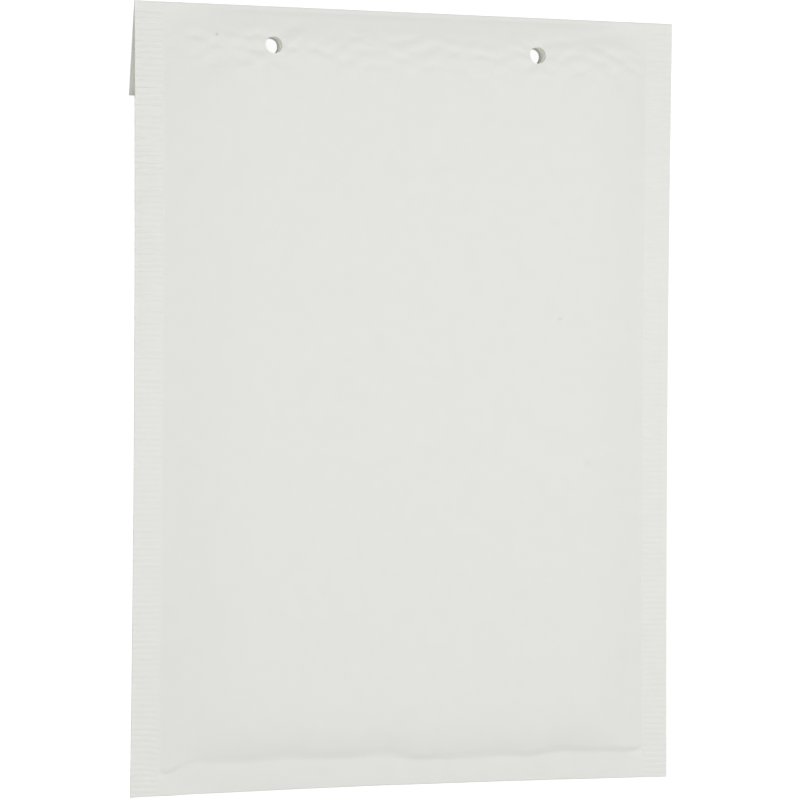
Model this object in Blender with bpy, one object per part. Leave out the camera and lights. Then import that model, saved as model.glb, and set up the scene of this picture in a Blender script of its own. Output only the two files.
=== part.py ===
"""Padded mailing envelope, 200 by 275 mm, lying on its back with its plain face up.

Every piece is drawn in the envelope's own frame: X across the width, Y along the height with
the bottom fold at low Y, and Z out of the plain face, with the plane of the side seams at
Z = 0. The empty rest_pose then tilts and lifts them all onto the surface that the envelope
lies on. Heights along the face are written as y, the distance from the bottom fold.

The paper is one sheet. It runs from the mouth down the back, round the bottom fold, up the
front, round the top fold and down behind the back as the flap. Its two long sides are crimped
shut. Inside it lies a folded bubble film. Units are metres and +Z is up.
"""

import math

import bmesh
import bpy
import numpy as np
from mathutils import Matrix, Vector

# Paper
WIDTH = 0.200
HEIGHT = 0.275
PAPER = 0.00025
FOLD_RADIUS = 0.0005
MOUTH_DROP = 0.003

# Crimped side seams, with ribs across each seam that end this far from its inner edge
SEAM_WIDTH = 0.010
SEAM_THICKNESS = 0.0007
RIB_PITCH = 0.002
RIB_DEPTH = 0.00026
RIB_FADE = 0.0012

# Padded faces: how far each stands off the seam plane, and how soon it gets there
FRONT_PUFF = 0.0045
BACK_PUFF = 0.0036
SIDE_RISE = 0.035
SIDE_POWER = 2.5
FRONT_TOP_RISE = 0.040
FRONT_TOP_POWER = 2.5
BACK_TOP_RISE = 0.060
BACK_TOP_POWER = 2.0
BOTTOM_RISE = 0.035
BOTTOM_POWER = 5.0

# Bottom lip and the crease above it, which dips near its two ends
CREASE_HEIGHT = 0.0118
CREASE_FLOOR = 0.00105
CREASE_DIP = 0.0022
CREASE_DIP_AT = 0.005
FRONT_LIP_RISE = 0.0007
BACK_LIP_RISE = 0.0005

# The padding draws the long edges and the bottom edge in a little
SIDE_PULL = 0.0007
BOTTOM_PULL = 0.001
BOTTOM_PULL_REACH = 0.025

# Flap, which stands off the back from the top fold
FLAP_LENGTH = 0.0325
FLAP_ANGLE = math.radians(13.5)

# Punched holes near the top fold
HOLE_DIAMETER = 0.006
HOLE_SPACING = 0.098
HOLE_OFFSET = -0.0022
HOLE_DROP = 0.0137
HOLE_SIDES = 24
HOLE_CUTTER_LENGTH = 0.060

# Bubble film
FILM = 0.0002
FILM_EDGE = 0.0003
FILM_WELD = 0.0025
FILM_SIDE_INSET = 0.006
FILM_BOTTOM_INSET = 0.005
FILM_MOUTH_DROP = 0.009
BUBBLE_PITCH = 0.0115
BUBBLE_RISE_AT_CREASE = 0.2
POCKET_GAP = 0.0006
FILM_CELL = 0.014

# Adhesive strip on the flap, and the release liner that covers it
ADHESIVE_DROP = 0.0185
ADHESIVE_WIDTH = 0.0100
ADHESIVE_THICKNESS = 0.0002
ADHESIVE_SIDE_INSET = 0.003
LINER_OVERLAP = 0.0015
LINER_THICKNESS = 0.0002
LINER_SIDE_INSET = 0.0005
CLEARANCE = 0.0003

# Rest: the belly of the back lies pressed flat near the bottom, and the flap's edge touches
REST_PRESS = 0.0006
REST_AT = 0.050

HALF_WIDTH = WIDTH / 2
HALF_HEIGHT = HEIGHT / 2
HALF_SEAM = SEAM_THICKNESS / 2
POCKET_HALF = HALF_WIDTH - SEAM_WIDTH
MOUTH_Y = HEIGHT - MOUTH_DROP
FOLD_Y = HEIGHT - FOLD_RADIUS
FLAP_ALONG = (-math.cos(FLAP_ANGLE), -math.sin(FLAP_ANGLE))
FLAP_OUT = (math.sin(FLAP_ANGLE), -math.cos(FLAP_ANGLE))
BELOW_FLAP = FOLD_RADIUS - PAPER


def flap_point(reach, offset):
    """(Y, Z) of a point this far along the flap and this far out from the fold's centre."""
    return (
        FOLD_Y - HALF_HEIGHT + reach * FLAP_ALONG[0] + offset * FLAP_OUT[0],
        reach * FLAP_ALONG[1] + offset * FLAP_OUT[1],
    )


FLAP_TIP = flap_point(FLAP_LENGTH, FOLD_RADIUS)
REST_DEPTH = BACK_PUFF - REST_PRESS
REST_Y = REST_AT - HALF_HEIGHT
REST_SLOPE = (-FLAP_TIP[1] - REST_DEPTH) / (FLAP_TIP[0] - REST_Y)
REST_TILT = math.atan(REST_SLOPE)


def ease(distance, length, power):
    """0 at distance 0, then quickly and then ever more slowly up to 1 at this length."""
    share = min(max(distance / length, 0.0), 1.0)
    return 1.0 - (1.0 - share) ** power


def along_middle(y, puff, lip_rise, top_rise, top_power):
    """How far a face stands off the seam plane along its middle line."""
    if y > HEIGHT / 2:
        return FOLD_RADIUS + (puff - FOLD_RADIUS) * ease(FOLD_Y - y, top_rise, top_power)
    if y > CREASE_HEIGHT:
        rise = ease(y - CREASE_HEIGHT, BOTTOM_RISE, BOTTOM_POWER)
        return CREASE_FLOOR + (puff - CREASE_FLOOR) * rise
    share = (y - FOLD_RADIUS) / (CREASE_HEIGHT - FOLD_RADIUS)
    lip = lip_rise * math.sin(math.pi * share)
    return FOLD_RADIUS + (CREASE_FLOOR - FOLD_RADIUS) * share + lip


def across(u, middle):
    """The same at u from the middle line: the seam's half thickness in the seams."""
    return HALF_SEAM + (middle - HALF_SEAM) * ease(POCKET_HALF - abs(u), SIDE_RISE, SIDE_POWER)


def front_height(u, y):
    """Outer face of the front, above the seam plane."""
    return across(u, along_middle(y, FRONT_PUFF, FRONT_LIP_RISE, FRONT_TOP_RISE, FRONT_TOP_POWER))


def free_back_depth(u, y):
    """Outer face of the back, below the seam plane, where nothing presses it."""
    return across(u, along_middle(y, BACK_PUFF, BACK_LIP_RISE, BACK_TOP_RISE, BACK_TOP_POWER))


def in_plane(u, y):
    """(X, Y) of a point of the flat sheet, with the crease's dips and the edges drawn in."""
    inside = max(POCKET_HALF - abs(u), 0.0) / CREASE_DIP_AT
    dip = CREASE_DIP * inside * math.exp(1.0 - inside)
    if y < CREASE_HEIGHT:
        dip *= y / CREASE_HEIGHT
    else:
        dip *= max(0.0, 1.0 - (y - CREASE_HEIGHT) / BOTTOM_RISE)
    bow = BOTTOM_PULL * (1.0 - (u / HALF_WIDTH) ** 2) * math.exp(-y / BOTTOM_PULL_REACH)
    narrowing = SIDE_PULL / HALF_WIDTH * (1.0 - (y / HALF_HEIGHT - 1.0) ** 2)
    return u * (1.0 - narrowing), y - HALF_HEIGHT - dip + bow


def rest_depth(y_plane):
    """Depth of the surface that the envelope lies on, below the seam plane."""
    return REST_DEPTH + REST_SLOPE * (y_plane - REST_Y)


def back_depth(u, y):
    """Outer face of the back, flattened where it lies on the surface below."""
    return min(free_back_depth(u, y), rest_depth(in_plane(u, y)[1]))


def front_point(u, y, inset=0.0, rib=0.0):
    x_plane, y_plane = in_plane(u, y)
    return Vector((x_plane, y_plane, front_height(u, y) - inset + rib))


def back_point(u, y, inset=0.0, rib=0.0):
    x_plane, y_plane = in_plane(u, y)
    return Vector((x_plane, y_plane, inset - back_depth(u, y) + rib))


def spread(start, end, longest):
    """Values from start to end, evenly, with no step over the longest allowed."""
    steps = max(1, math.ceil(abs(end - start) / longest - 1e-9))
    return [start + (end - start) * k / steps for k in range(steps + 1)]


def close_to_far(length, steps, nearest=0.0):
    """Distances that start close together and end far apart, as a curve that flattens needs."""
    return [d for d in (length * (k / steps) ** 2 for k in range(1, steps + 1)) if d > nearest]


def face_rows():
    """y of the rows across the padded faces, from the bottom fold to the mouth."""
    rows = spread(FOLD_RADIUS, CREASE_HEIGHT, (CREASE_HEIGHT - FOLD_RADIUS) / 4)
    rows += [CREASE_HEIGHT + d for d in close_to_far(BOTTOM_RISE, 6)]
    upper = [FOLD_Y - d for d in close_to_far(FRONT_TOP_RISE, 6, 1.4 * MOUTH_DROP)]
    rows += spread(rows[-1], FOLD_Y - BACK_TOP_RISE, 0.030)[1:]
    return rows + sorted(upper) + [MOUTH_Y]


def rib_rows():
    """y of the ribs' crests and troughs, from the bottom fold to the mouth."""
    return spread(FOLD_RADIUS, MOUTH_Y, RIB_PITCH / 2)


def face_columns():
    """u of the columns across the pocket, from seam to seam."""
    inward = [0.0] + close_to_far(SIDE_RISE, 5, RIB_FADE + CLEARANCE)
    left = [d - POCKET_HALF for d in inward]
    right = [POCKET_HALF - d for d in reversed(inward)]
    return left + spread(left[-1], right[0], 0.030)[1:-1] + right


def arc(u, y_centre, radius, start, end, steps):
    """Points round a fold that runs along X, between two angles from +Y towards +Z."""
    x_plane = in_plane(u, y_centre)[0]
    y_plane = in_plane(u, y_centre)[1]
    angles = [start + (end - start) * k / steps for k in range(steps + 1)]
    return [
        Vector((x_plane, y_plane + radius * math.cos(a), radius * math.sin(a))) for a in angles
    ]


class Skin:
    """A mesh in the making, whose faces are laid between neighbouring rows of points."""

    def __init__(self):
        self.mesh = bmesh.new()

    def row(self, points):
        return [self.mesh.verts.new(p) for p in points]

    def face(self, *verts):
        """Adds a face, leaving out repeated corners and one that has no area."""
        corners = [v for i, v in enumerate(verts) if v is not verts[i - 1]]
        if len(set(corners)) > 2:
            self.mesh.faces.new(corners)

    def strip(self, first, second):
        """Quads between two rows of as many points."""
        for k in range(len(first) - 1):
            self.face(first[k], first[k + 1], second[k + 1], second[k])

    def zip(self, first, second):
        """Triangles between two rows of unlike counts, each point joined to its nearest."""
        start = first[0].co
        reach = (first[-1].co - start).normalized()
        along_first = [(v.co - start).dot(reach) for v in first]
        along_second = [(v.co - start).dot(reach) for v in second]
        i = 0
        j = 0
        while i < len(first) - 1 or j < len(second) - 1:
            at_end = j == len(second) - 1
            if at_end or (i < len(first) - 1 and along_first[i + 1] <= along_second[j + 1]):
                self.face(first[i], first[i + 1], second[j])
                i += 1
            else:
                self.face(first[i], second[j + 1], second[j])
                j += 1

    def finish(self, name, material, parent, smooth=True):
        """Makes the object, with its faces turned outwards."""
        bmesh.ops.recalc_face_normals(self.mesh, faces=self.mesh.faces)
        data = bpy.data.meshes.new(name)
        self.mesh.to_mesh(data)
        self.mesh.free()
        if smooth:
            data.shade_smooth()
            data.set_sharp_from_angle(angle=math.radians(40))
        data.materials.append(material)
        obj = bpy.data.objects.new(name, data)
        obj.parent = parent
        bpy.context.scene.collection.objects.link(obj)
        return obj


def make_material(name, colour, roughness):
    material = bpy.data.materials.new(name)
    material.use_nodes = True
    shader = material.node_tree.nodes["Principled BSDF"]
    shader.inputs["Base Color"].default_value = (*colour, 1.0)
    shader.inputs["Roughness"].default_value = roughness
    shader.inputs["Metallic"].default_value = 0.0
    return material


def paper_column(skin, u, rows, ribbed):
    """One cross-section of the folded sheet, as named rows of points, all on the column u.

    Outside they run from the bottom fold up the front, round the top fold to the flap's edge,
    and from the mouth down the back. Inside they run from the flap's edge back to the fold and
    down the front to the mouth. A ribbed column swings both faces of the seam up and down.
    """
    ribs = [RIB_DEPTH / 2 * (-1) ** k if ribbed else 0.0 for k in range(len(rows))]
    if ribbed:
        ribs[0] = 0.0
        ribs[-1] = 0.0
    column = {"front": skin.row(front_point(u, y, 0.0, r) for y, r in zip(rows, ribs))}
    column["back"] = skin.row(back_point(u, y, 0.0, r) for y, r in zip(rows, ribs))

    turn = -(math.pi / 2 - FLAP_ANGLE)
    fold_out = arc(u, FOLD_Y, FOLD_RADIUS, math.pi / 2, turn, 6)
    fold_in = arc(u, FOLD_Y, BELOW_FLAP, math.pi / 2, turn, 6)
    column["top_out"] = [column["front"][-1]] + skin.row(fold_out)
    flap_rows = spread(0.0, FLAP_LENGTH, 0.011)[1:]
    flap_out = [Vector((u, *flap_point(reach, FOLD_RADIUS))) for reach in flap_rows]
    flap_in = [Vector((u, *flap_point(reach, BELOW_FLAP))) for reach in flap_rows]
    column["top_out"] += skin.row(flap_out)
    column["top_in"] = skin.row([front_point(u, MOUTH_Y, PAPER)] + fold_in + flap_in)

    radius = front_height(u, FOLD_RADIUS)
    low = arc(u, FOLD_RADIUS, radius, math.pi / 2, 3 * math.pi / 2, 4)[1:-1]
    column["bottom"] = [column["front"][0]] + skin.row(low) + [column["back"][0]]
    return column


def pocket_column(skin, u, rows, column, shut):
    """Adds the pocket's two walls to a column. Where the pocket is shut they are one row."""
    mouth = column["top_in"][0]
    deepest = Vector((u, in_plane(u, PAPER)[1], 0.0))
    fold = skin.row([deepest])
    lower = [front_point(u, y, PAPER) for y in rows[:-1]]
    column["front_in"] = fold + skin.row(lower) + [mouth]
    if shut:
        column["back_in"] = column["front_in"]
    else:
        column["back_in"] = fold + skin.row(back_point(u, y, PAPER) for y in rows)


def make_paper(material, parent):
    """The folded sheet with its crimped seams, as one body whose pocket is open at the mouth."""
    skin = Skin()
    coarse = face_rows()
    fine = rib_rows()
    smooth = fine[::2] if len(fine) % 2 else fine[::2] + fine[-1:]
    ribbed_us = (-HALF_WIDTH, -POCKET_HALF - RIB_FADE, POCKET_HALF + RIB_FADE, HALF_WIDTH)
    ribbed = [paper_column(skin, u, fine, True) for u in ribbed_us]
    inner_us = face_columns()
    pocket = []
    for k, u in enumerate(inner_us):
        at_seam = k in (0, len(inner_us) - 1)
        column = paper_column(skin, u, smooth if at_seam else coarse, False)
        pocket_column(skin, u, coarse, column, at_seam)
        pocket.append(column)

    columns = ribbed[:2] + pocket + ribbed[2:]
    for left, right in zip(columns[:-1], columns[1:]):
        lay = skin.strip if len(left["front"]) == len(right["front"]) else skin.zip
        lay(left["front"], right["front"])
        lay(left["back"], right["back"])
        for run in ("bottom", "top_out", "top_in"):
            skin.strip(left[run], right[run])
        skin.face(left["top_out"][-1], right["top_out"][-1], right["top_in"][-1], left["top_in"][-1])
    for left, right in zip(pocket[:-1], pocket[1:]):
        skin.strip(left["front_in"], right["front_in"])
        skin.strip(left["back_in"], right["back_in"])
        skin.face(left["back"][-1], right["back"][-1], right["back_in"][-1], left["back_in"][-1])
    for left, right in zip(columns[:-1], columns[1:]):
        if "back_in" not in left or "back_in" not in right:
            skin.face(left["back"][-1], right["back"][-1], right["top_in"][0], left["top_in"][0])
    for end in (columns[0], columns[-1]):
        front, back, bottom = end["front"], end["back"], end["bottom"]
        skin.strip(front[:-1], back[:-1])
        skin.face(front[-2], front[-1], end["top_in"][0], back[-1], back[-2])
        skin.face(front[-1], end["top_out"][1], end["top_in"][1], end["top_in"][0])
        skin.strip(end["top_out"][1:], end["top_in"][1:])
        skin.face(bottom[0], bottom[1], bottom[-2], bottom[-1])
        skin.face(bottom[1], bottom[2], bottom[3])
    return skin.finish("paper_envelope", material, parent)


class FilmSpace:
    """The space that the paper's facets leave for the film, on both sides of its middle.

    The middle runs halfway between the two faces as they are when nothing presses on them.
    """

    def __init__(self):
        self.us = np.array(face_columns())
        self.ys = np.array(face_rows())
        self.front, self.back, self.free_back = (
            np.array([[height(u, y) - PAPER - CLEARANCE for y in self.ys] for u in self.us])
            for height in (front_height, back_depth, free_back_depth)
        )

    def room(self, u, y):
        """(middle, above, below), read from the facets between the paper's rows and columns."""
        i = int(np.clip(np.searchsorted(self.us, u) - 1, 0, len(self.us) - 2))
        j = int(np.clip(np.searchsorted(self.ys, y) - 1, 0, len(self.ys) - 2))
        a = (u - self.us[i]) / (self.us[i + 1] - self.us[i])
        b = (y - self.ys[j]) / (self.ys[j + 1] - self.ys[j])
        weights = np.array([[(1 - a) * (1 - b), (1 - a) * b], [a * (1 - b), a * b]])
        front, back, free_back = (
            float((table[i : i + 2, j : j + 2] * weights).sum())
            for table in (self.front, self.back, self.free_back)
        )
        middle = (front - free_back) / 2
        least = FILM_EDGE / 2
        return middle, max(front - middle, least), max(back + middle, least)

    def point(self, u, y, side, share_of_room, limit):
        """A point of the film on one side of its middle, no further out than the limit."""
        middle, above, below = self.room(u, y)
        out = min(share_of_room * (above if side > 0 else below), limit)
        return Vector((*in_plane(u, y), middle + side * out))


def bubble_rows(half, low, high):
    """Rows of (u, y, is_top) on a triangular lattice, where every third point is a bubble's top.

    The ends of each row and the first and last rows lie on the film's edges and are never tops.
    """
    step = BUBBLE_PITCH / math.sqrt(3)
    count = round(2 * half / step)
    ys = spread(low, high, step * math.sqrt(3) / 2)
    rows = []
    for j, y in enumerate(ys):
        odd = j % 2
        row = [(-half, y, False)] if odd else []
        for k in range(count if odd else count + 1):
            u = -half + (k + odd / 2) * 2 * half / count
            inner_row = 0 < j < len(ys) - 1
            inner_point = odd or 0 < k < count
            is_top = inner_row and inner_point and (k - j // 2 - j) % 3 == 0
            row.append((u, y, bool(is_top)))
        rows.append(row + ([(half, y, False)] if odd else []))
    return rows


def make_lining(material, parent):
    """The folded bubble film: bubbles towards the paper, smooth towards the pocket."""
    skin = Skin()
    space = FilmSpace()
    half = POCKET_HALF - FILM_SIDE_INSET
    low = FILM_BOTTOM_INSET
    high = HEIGHT - FILM_MOUTH_DROP
    base = POCKET_GAP / 2 + FILM
    lattice = bubble_rows(half, low, high)
    outside = {}
    for side in (1, -1):
        rows = []
        for j, row in enumerate(lattice):
            verts = []
            for k, (u, y, is_top) in enumerate(row):
                on_edge = j == 0 or k in (0, len(row) - 1)
                top = base + BUBBLE_RISE_AT_CREASE * abs(y - CREASE_HEIGHT)
                limit = FILM_EDGE / 2 if on_edge else (top if is_top else base)
                verts += skin.row([space.point(u, y, side, 1.0 if is_top else 0.75, limit)])
            rows.append(verts)
        for first, second in zip(rows[:-1], rows[1:]):
            skin.zip(first, second)
        outside[side] = rows
    skin.strip(outside[1][0], outside[-1][0])
    for end in (0, -1):
        skin.strip([r[end] for r in outside[1]], [r[end] for r in outside[-1]])

    us = spread(FILM_WELD - half, half - FILM_WELD, FILM_CELL)
    ys = spread(low + FILM_WELD, high, FILM_CELL)
    shut = {}
    for j, y in enumerate(ys):
        for k, u in enumerate(us):
            if j == 0 or k in (0, len(us) - 1):
                shut[j, k] = skin.row([space.point(u, y, 1, 0.0, 0.0)])[0]
    for side in (1, -1):
        grid = []
        for j, y in enumerate(ys):
            verts = []
            for k, u in enumerate(us):
                new = space.point(u, y, side, 0.4, POCKET_GAP / 2)
                verts.append(shut.get((j, k)) or skin.row([new])[0])
            grid.append(verts)
        for first, second in zip(grid[:-1], grid[1:]):
            skin.strip(first, second)
        skin.zip(outside[side][-1], grid[-1])
    for end, k in ((0, 0), (-1, len(us) - 1)):
        skin.face(outside[1][-1][end], outside[-1][-1][end], shut[len(ys) - 1, k])
    return skin.finish("bubble_lining", material, parent)


def make_strip(name, material, parent, drop, width, inset, base, thickness):
    """A thin straight strip on the flap, in the flap's frame, where the fold is at y = 0."""
    skin = Skin()
    half = HALF_WIDTH - inset
    levels = []
    for z in (base, base + thickness):
        corners = ((-half, -drop), (half, -drop), (half, -drop - width), (-half, -drop - width))
        levels.append(skin.row(Vector((x, y, z)) for x, y in corners))
    skin.face(*levels[0])
    skin.face(*levels[1])
    skin.strip(levels[0] + levels[0][:1], levels[1] + levels[1][:1])
    return skin.finish(name, material, parent, smooth=False)


def punch(target, cutter):
    """Cuts one round hole through every layer of the target that the cutter passes."""
    hole = target.modifiers.new("punched_" + cutter.name, "BOOLEAN")
    hole.operation = "DIFFERENCE"
    hole.solver = "EXACT"
    hole.object = cutter


def make_cutter(name, centre):
    """An upright round punch through this point."""
    mesh = bmesh.new()
    radius = HOLE_DIAMETER / 2
    bmesh.ops.create_cone(
        mesh,
        cap_ends=True,
        segments=HOLE_SIDES,
        radius1=radius,
        radius2=radius,
        depth=HOLE_CUTTER_LENGTH,
    )
    data = bpy.data.meshes.new(name)
    mesh.to_mesh(data)
    mesh.free()
    cutter = bpy.data.objects.new(name, data)
    cutter.location = centre
    cutter.hide_render = True
    cutter.display_type = "WIRE"
    bpy.context.scene.collection.objects.link(cutter)
    return cutter


def make_empty(name, parent=None):
    empty = bpy.data.objects.new(name, None)
    empty.parent = parent
    bpy.context.scene.collection.objects.link(empty)
    return empty


def lay_down(rest_pose, paper):
    """Tilts the envelope onto its back and puts the origin under the middle of its box."""
    tilt = Matrix.Rotation(REST_TILT, 4, "X")
    points = np.array([tilt @ v.co for v in paper.data.vertices])
    middle = (points.min(axis=0) + points.max(axis=0)) / 2
    tip_height = (tilt @ Vector((0.0, *FLAP_TIP))).z
    rest_pose.rotation_euler = (REST_TILT, 0.0, 0.0)
    rest_pose.location = (-middle[0], -middle[1], -tip_height)
    bpy.context.view_layer.update()


def main():
    for obj in list(bpy.data.objects):
        bpy.data.objects.remove(obj, do_unlink=True)
    white_paper = make_material("white_paper", (0.80, 0.79, 0.76), 0.75)
    clear_film = make_material("polyethylene_film", (0.84, 0.85, 0.86), 0.25)
    glue = make_material("hot_melt_adhesive", (0.80, 0.76, 0.62), 0.35)
    silicone_paper = make_material("silicone_paper", (0.83, 0.82, 0.78), 0.45)

    rest_pose = make_empty("rest_pose")
    paper = make_paper(white_paper, rest_pose)
    lining = make_lining(clear_film, rest_pose)

    flap_frame = make_empty("flap_frame", rest_pose)
    flap_frame.location = (0.0, FOLD_Y - HALF_HEIGHT, 0.0)
    flap_frame.rotation_euler = (FLAP_ANGLE, 0.0, 0.0)
    glue_base = CLEARANCE - BELOW_FLAP
    liner_base = glue_base + ADHESIVE_THICKNESS + CLEARANCE
    make_strip(
        "adhesive_strip",
        glue,
        flap_frame,
        ADHESIVE_DROP,
        ADHESIVE_WIDTH,
        ADHESIVE_SIDE_INSET,
        glue_base,
        ADHESIVE_THICKNESS,
    )
    make_strip(
        "release_liner",
        silicone_paper,
        flap_frame,
        ADHESIVE_DROP - LINER_OVERLAP,
        ADHESIVE_WIDTH + 2 * LINER_OVERLAP,
        LINER_SIDE_INSET,
        liner_base,
        LINER_THICKNESS,
    )

    lay_down(rest_pose, paper)
    for name, side in (("left", -1), ("right", 1)):
        u = HOLE_OFFSET + side * HOLE_SPACING / 2
        centre = rest_pose.matrix_world @ front_point(u, HEIGHT - HOLE_DROP)
        cutter = make_cutter("hole_punch_" + name, centre)
        punch(paper, cutter)
        punch(lining, cutter)


main()
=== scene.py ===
"""Dressed model of a padded mailing envelope, 200 by 275 mm, lying on its back.

Every shape is worked out in the envelope's own frame, with the plane of the side seams at Z = 0,
X across the width, Y along the height and Z out of the plain face. The class RestPose then tilts
and lifts the points into the row frame, where the envelope lies on the floor. A place on a face
is written as (u, y): u from the middle line and y from the bottom fold. Lengths are metres.
"""

import logging
import math
from collections.abc import Callable
from dataclasses import dataclass, field
from enum import IntEnum

import bmesh
import bpy
import numpy as np
from mathutils import Matrix, Vector


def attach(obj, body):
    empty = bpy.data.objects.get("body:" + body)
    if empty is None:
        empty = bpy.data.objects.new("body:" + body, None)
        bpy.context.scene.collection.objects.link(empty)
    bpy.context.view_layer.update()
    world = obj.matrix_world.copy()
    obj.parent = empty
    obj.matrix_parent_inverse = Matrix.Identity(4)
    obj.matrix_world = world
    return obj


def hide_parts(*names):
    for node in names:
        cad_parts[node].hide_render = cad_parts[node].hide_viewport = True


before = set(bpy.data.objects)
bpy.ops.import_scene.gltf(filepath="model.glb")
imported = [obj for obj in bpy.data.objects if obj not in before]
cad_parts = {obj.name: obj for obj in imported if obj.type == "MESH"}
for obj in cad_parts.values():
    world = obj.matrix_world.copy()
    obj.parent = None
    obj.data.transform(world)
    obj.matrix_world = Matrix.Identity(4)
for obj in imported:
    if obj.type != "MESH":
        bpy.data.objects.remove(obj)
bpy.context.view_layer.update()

Array = np.ndarray
Place = tuple[float, float]
Segment = tuple[Place, Place]
Surface = Callable[[Array, Array], Array]
Material = bpy.types.Material
Piece = bpy.types.Object
Socket = bpy.types.NodeSocket
Tree = bpy.types.NodeTree
LOG = logging.getLogger("envelope")
MM = 0.001
BODY = "root"
# How much each finer layer adds to a noise, in every finish
NOISE_ROUGHNESS = 0.55
# Over what share of its length a crease fades out at each end
CREASE_FADE = 0.2
# Smaller than any share or distance that counts
TINY = 1e-9
# Inputs of the colour mix node
MIX_FIRST, MIX_SECOND = 6, 7


def smooth(share: Array) -> Array:
    """Smoothstep: 0 below 0, 1 above 1, and 3 share squared less 2 share cubed between."""
    held = np.clip(share, 0.0, 1.0)
    return held * held * (3.0 - 2.0 * held)


def ease(distance: Array, length: Array, power: float) -> Array:
    """0 at distance 0, quickly and then ever more slowly up to 1 at the length."""
    return 1.0 - (1.0 - np.clip(distance / length, 0.0, 1.0)) ** power


def bell(offset: Array, width: float) -> Array:
    """1 at no offset, falling to both sides as exp of minus half the offset over width squared."""
    return np.exp(-0.5 * (offset / width) ** 2)


def spread(start: float, end: float, longest: float) -> Array:
    """Even values from start to end, with no step over the longest.

    Args:
        start: First value.
        end: Last value.
        longest: The widest step allowed.

    Returns:
        The values, both ends included.
    """
    steps = max(1, math.ceil(abs(end - start) / longest - TINY))
    return np.linspace(start, end, steps + 1)


def join_spreads(stops: list[float], longest: list[float]) -> Array:
    """Runs of even values between stops, each run with its own widest step.

    Args:
        stops: The ends of the runs, one more than there are runs.
        longest: The widest step of each run.

    Returns:
        All values, each stop once.
    """
    runs = [spread(a, b, step)[:-1] for a, b, step in zip(stops[:-1], stops[1:], longest)]
    return np.concatenate(runs + [np.array([stops[-1]])])


def segment_bell(u: Array, y: Array, start: Place, end: Place, width: float) -> Array:
    """A straight crease's cross-section: a bell of the distance from a line between two points.

    It fades as a smoothstep over the last fifth towards each end.

    Args:
        u: Places across.
        y: Places along.
        start: (u, y) of one end.
        end: (u, y) of the other.
        width: The bell's width.

    Returns:
        0 to 1 at each place.
    """
    run = np.array(end) - np.array(start)
    length = float(np.hypot(*run))
    along = ((u - start[0]) * run[0] + (y - start[1]) * run[1]) / length**2
    aside = ((u - start[0]) * run[1] - (y - start[1]) * run[0]) / length
    return bell(aside, width) * smooth(along / CREASE_FADE) * smooth((1.0 - along) / CREASE_FADE)


@dataclass(frozen=True)
class RestPose:
    """How the envelope lies: tilted back onto its belly and its flap's edge, then lifted."""

    tilt: float = math.atan(0.02628333)
    shift_y: float = -0.0725 * MM
    lift: float = 5.298 * MM

    def place(self, points: Array) -> Array:
        """Turns points about X by the tilt and then shifts them.

        Args:
            points: Points of the envelope's frame, with the coordinates last.

        Returns:
            The points in the row frame.
        """
        c, s = math.cos(self.tilt), math.sin(self.tilt)
        x, y, z = points[..., 0], points[..., 1], points[..., 2]
        return np.stack([x, c * y - s * z + self.shift_y, s * y + c * z + self.lift], axis=-1)

    def turn(self, directions: Array) -> Array:
        """Directions of the envelope's frame, turned about X by the tilt."""
        return self.place(directions) - self.place(np.zeros(3))


POSE = RestPose()


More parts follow.
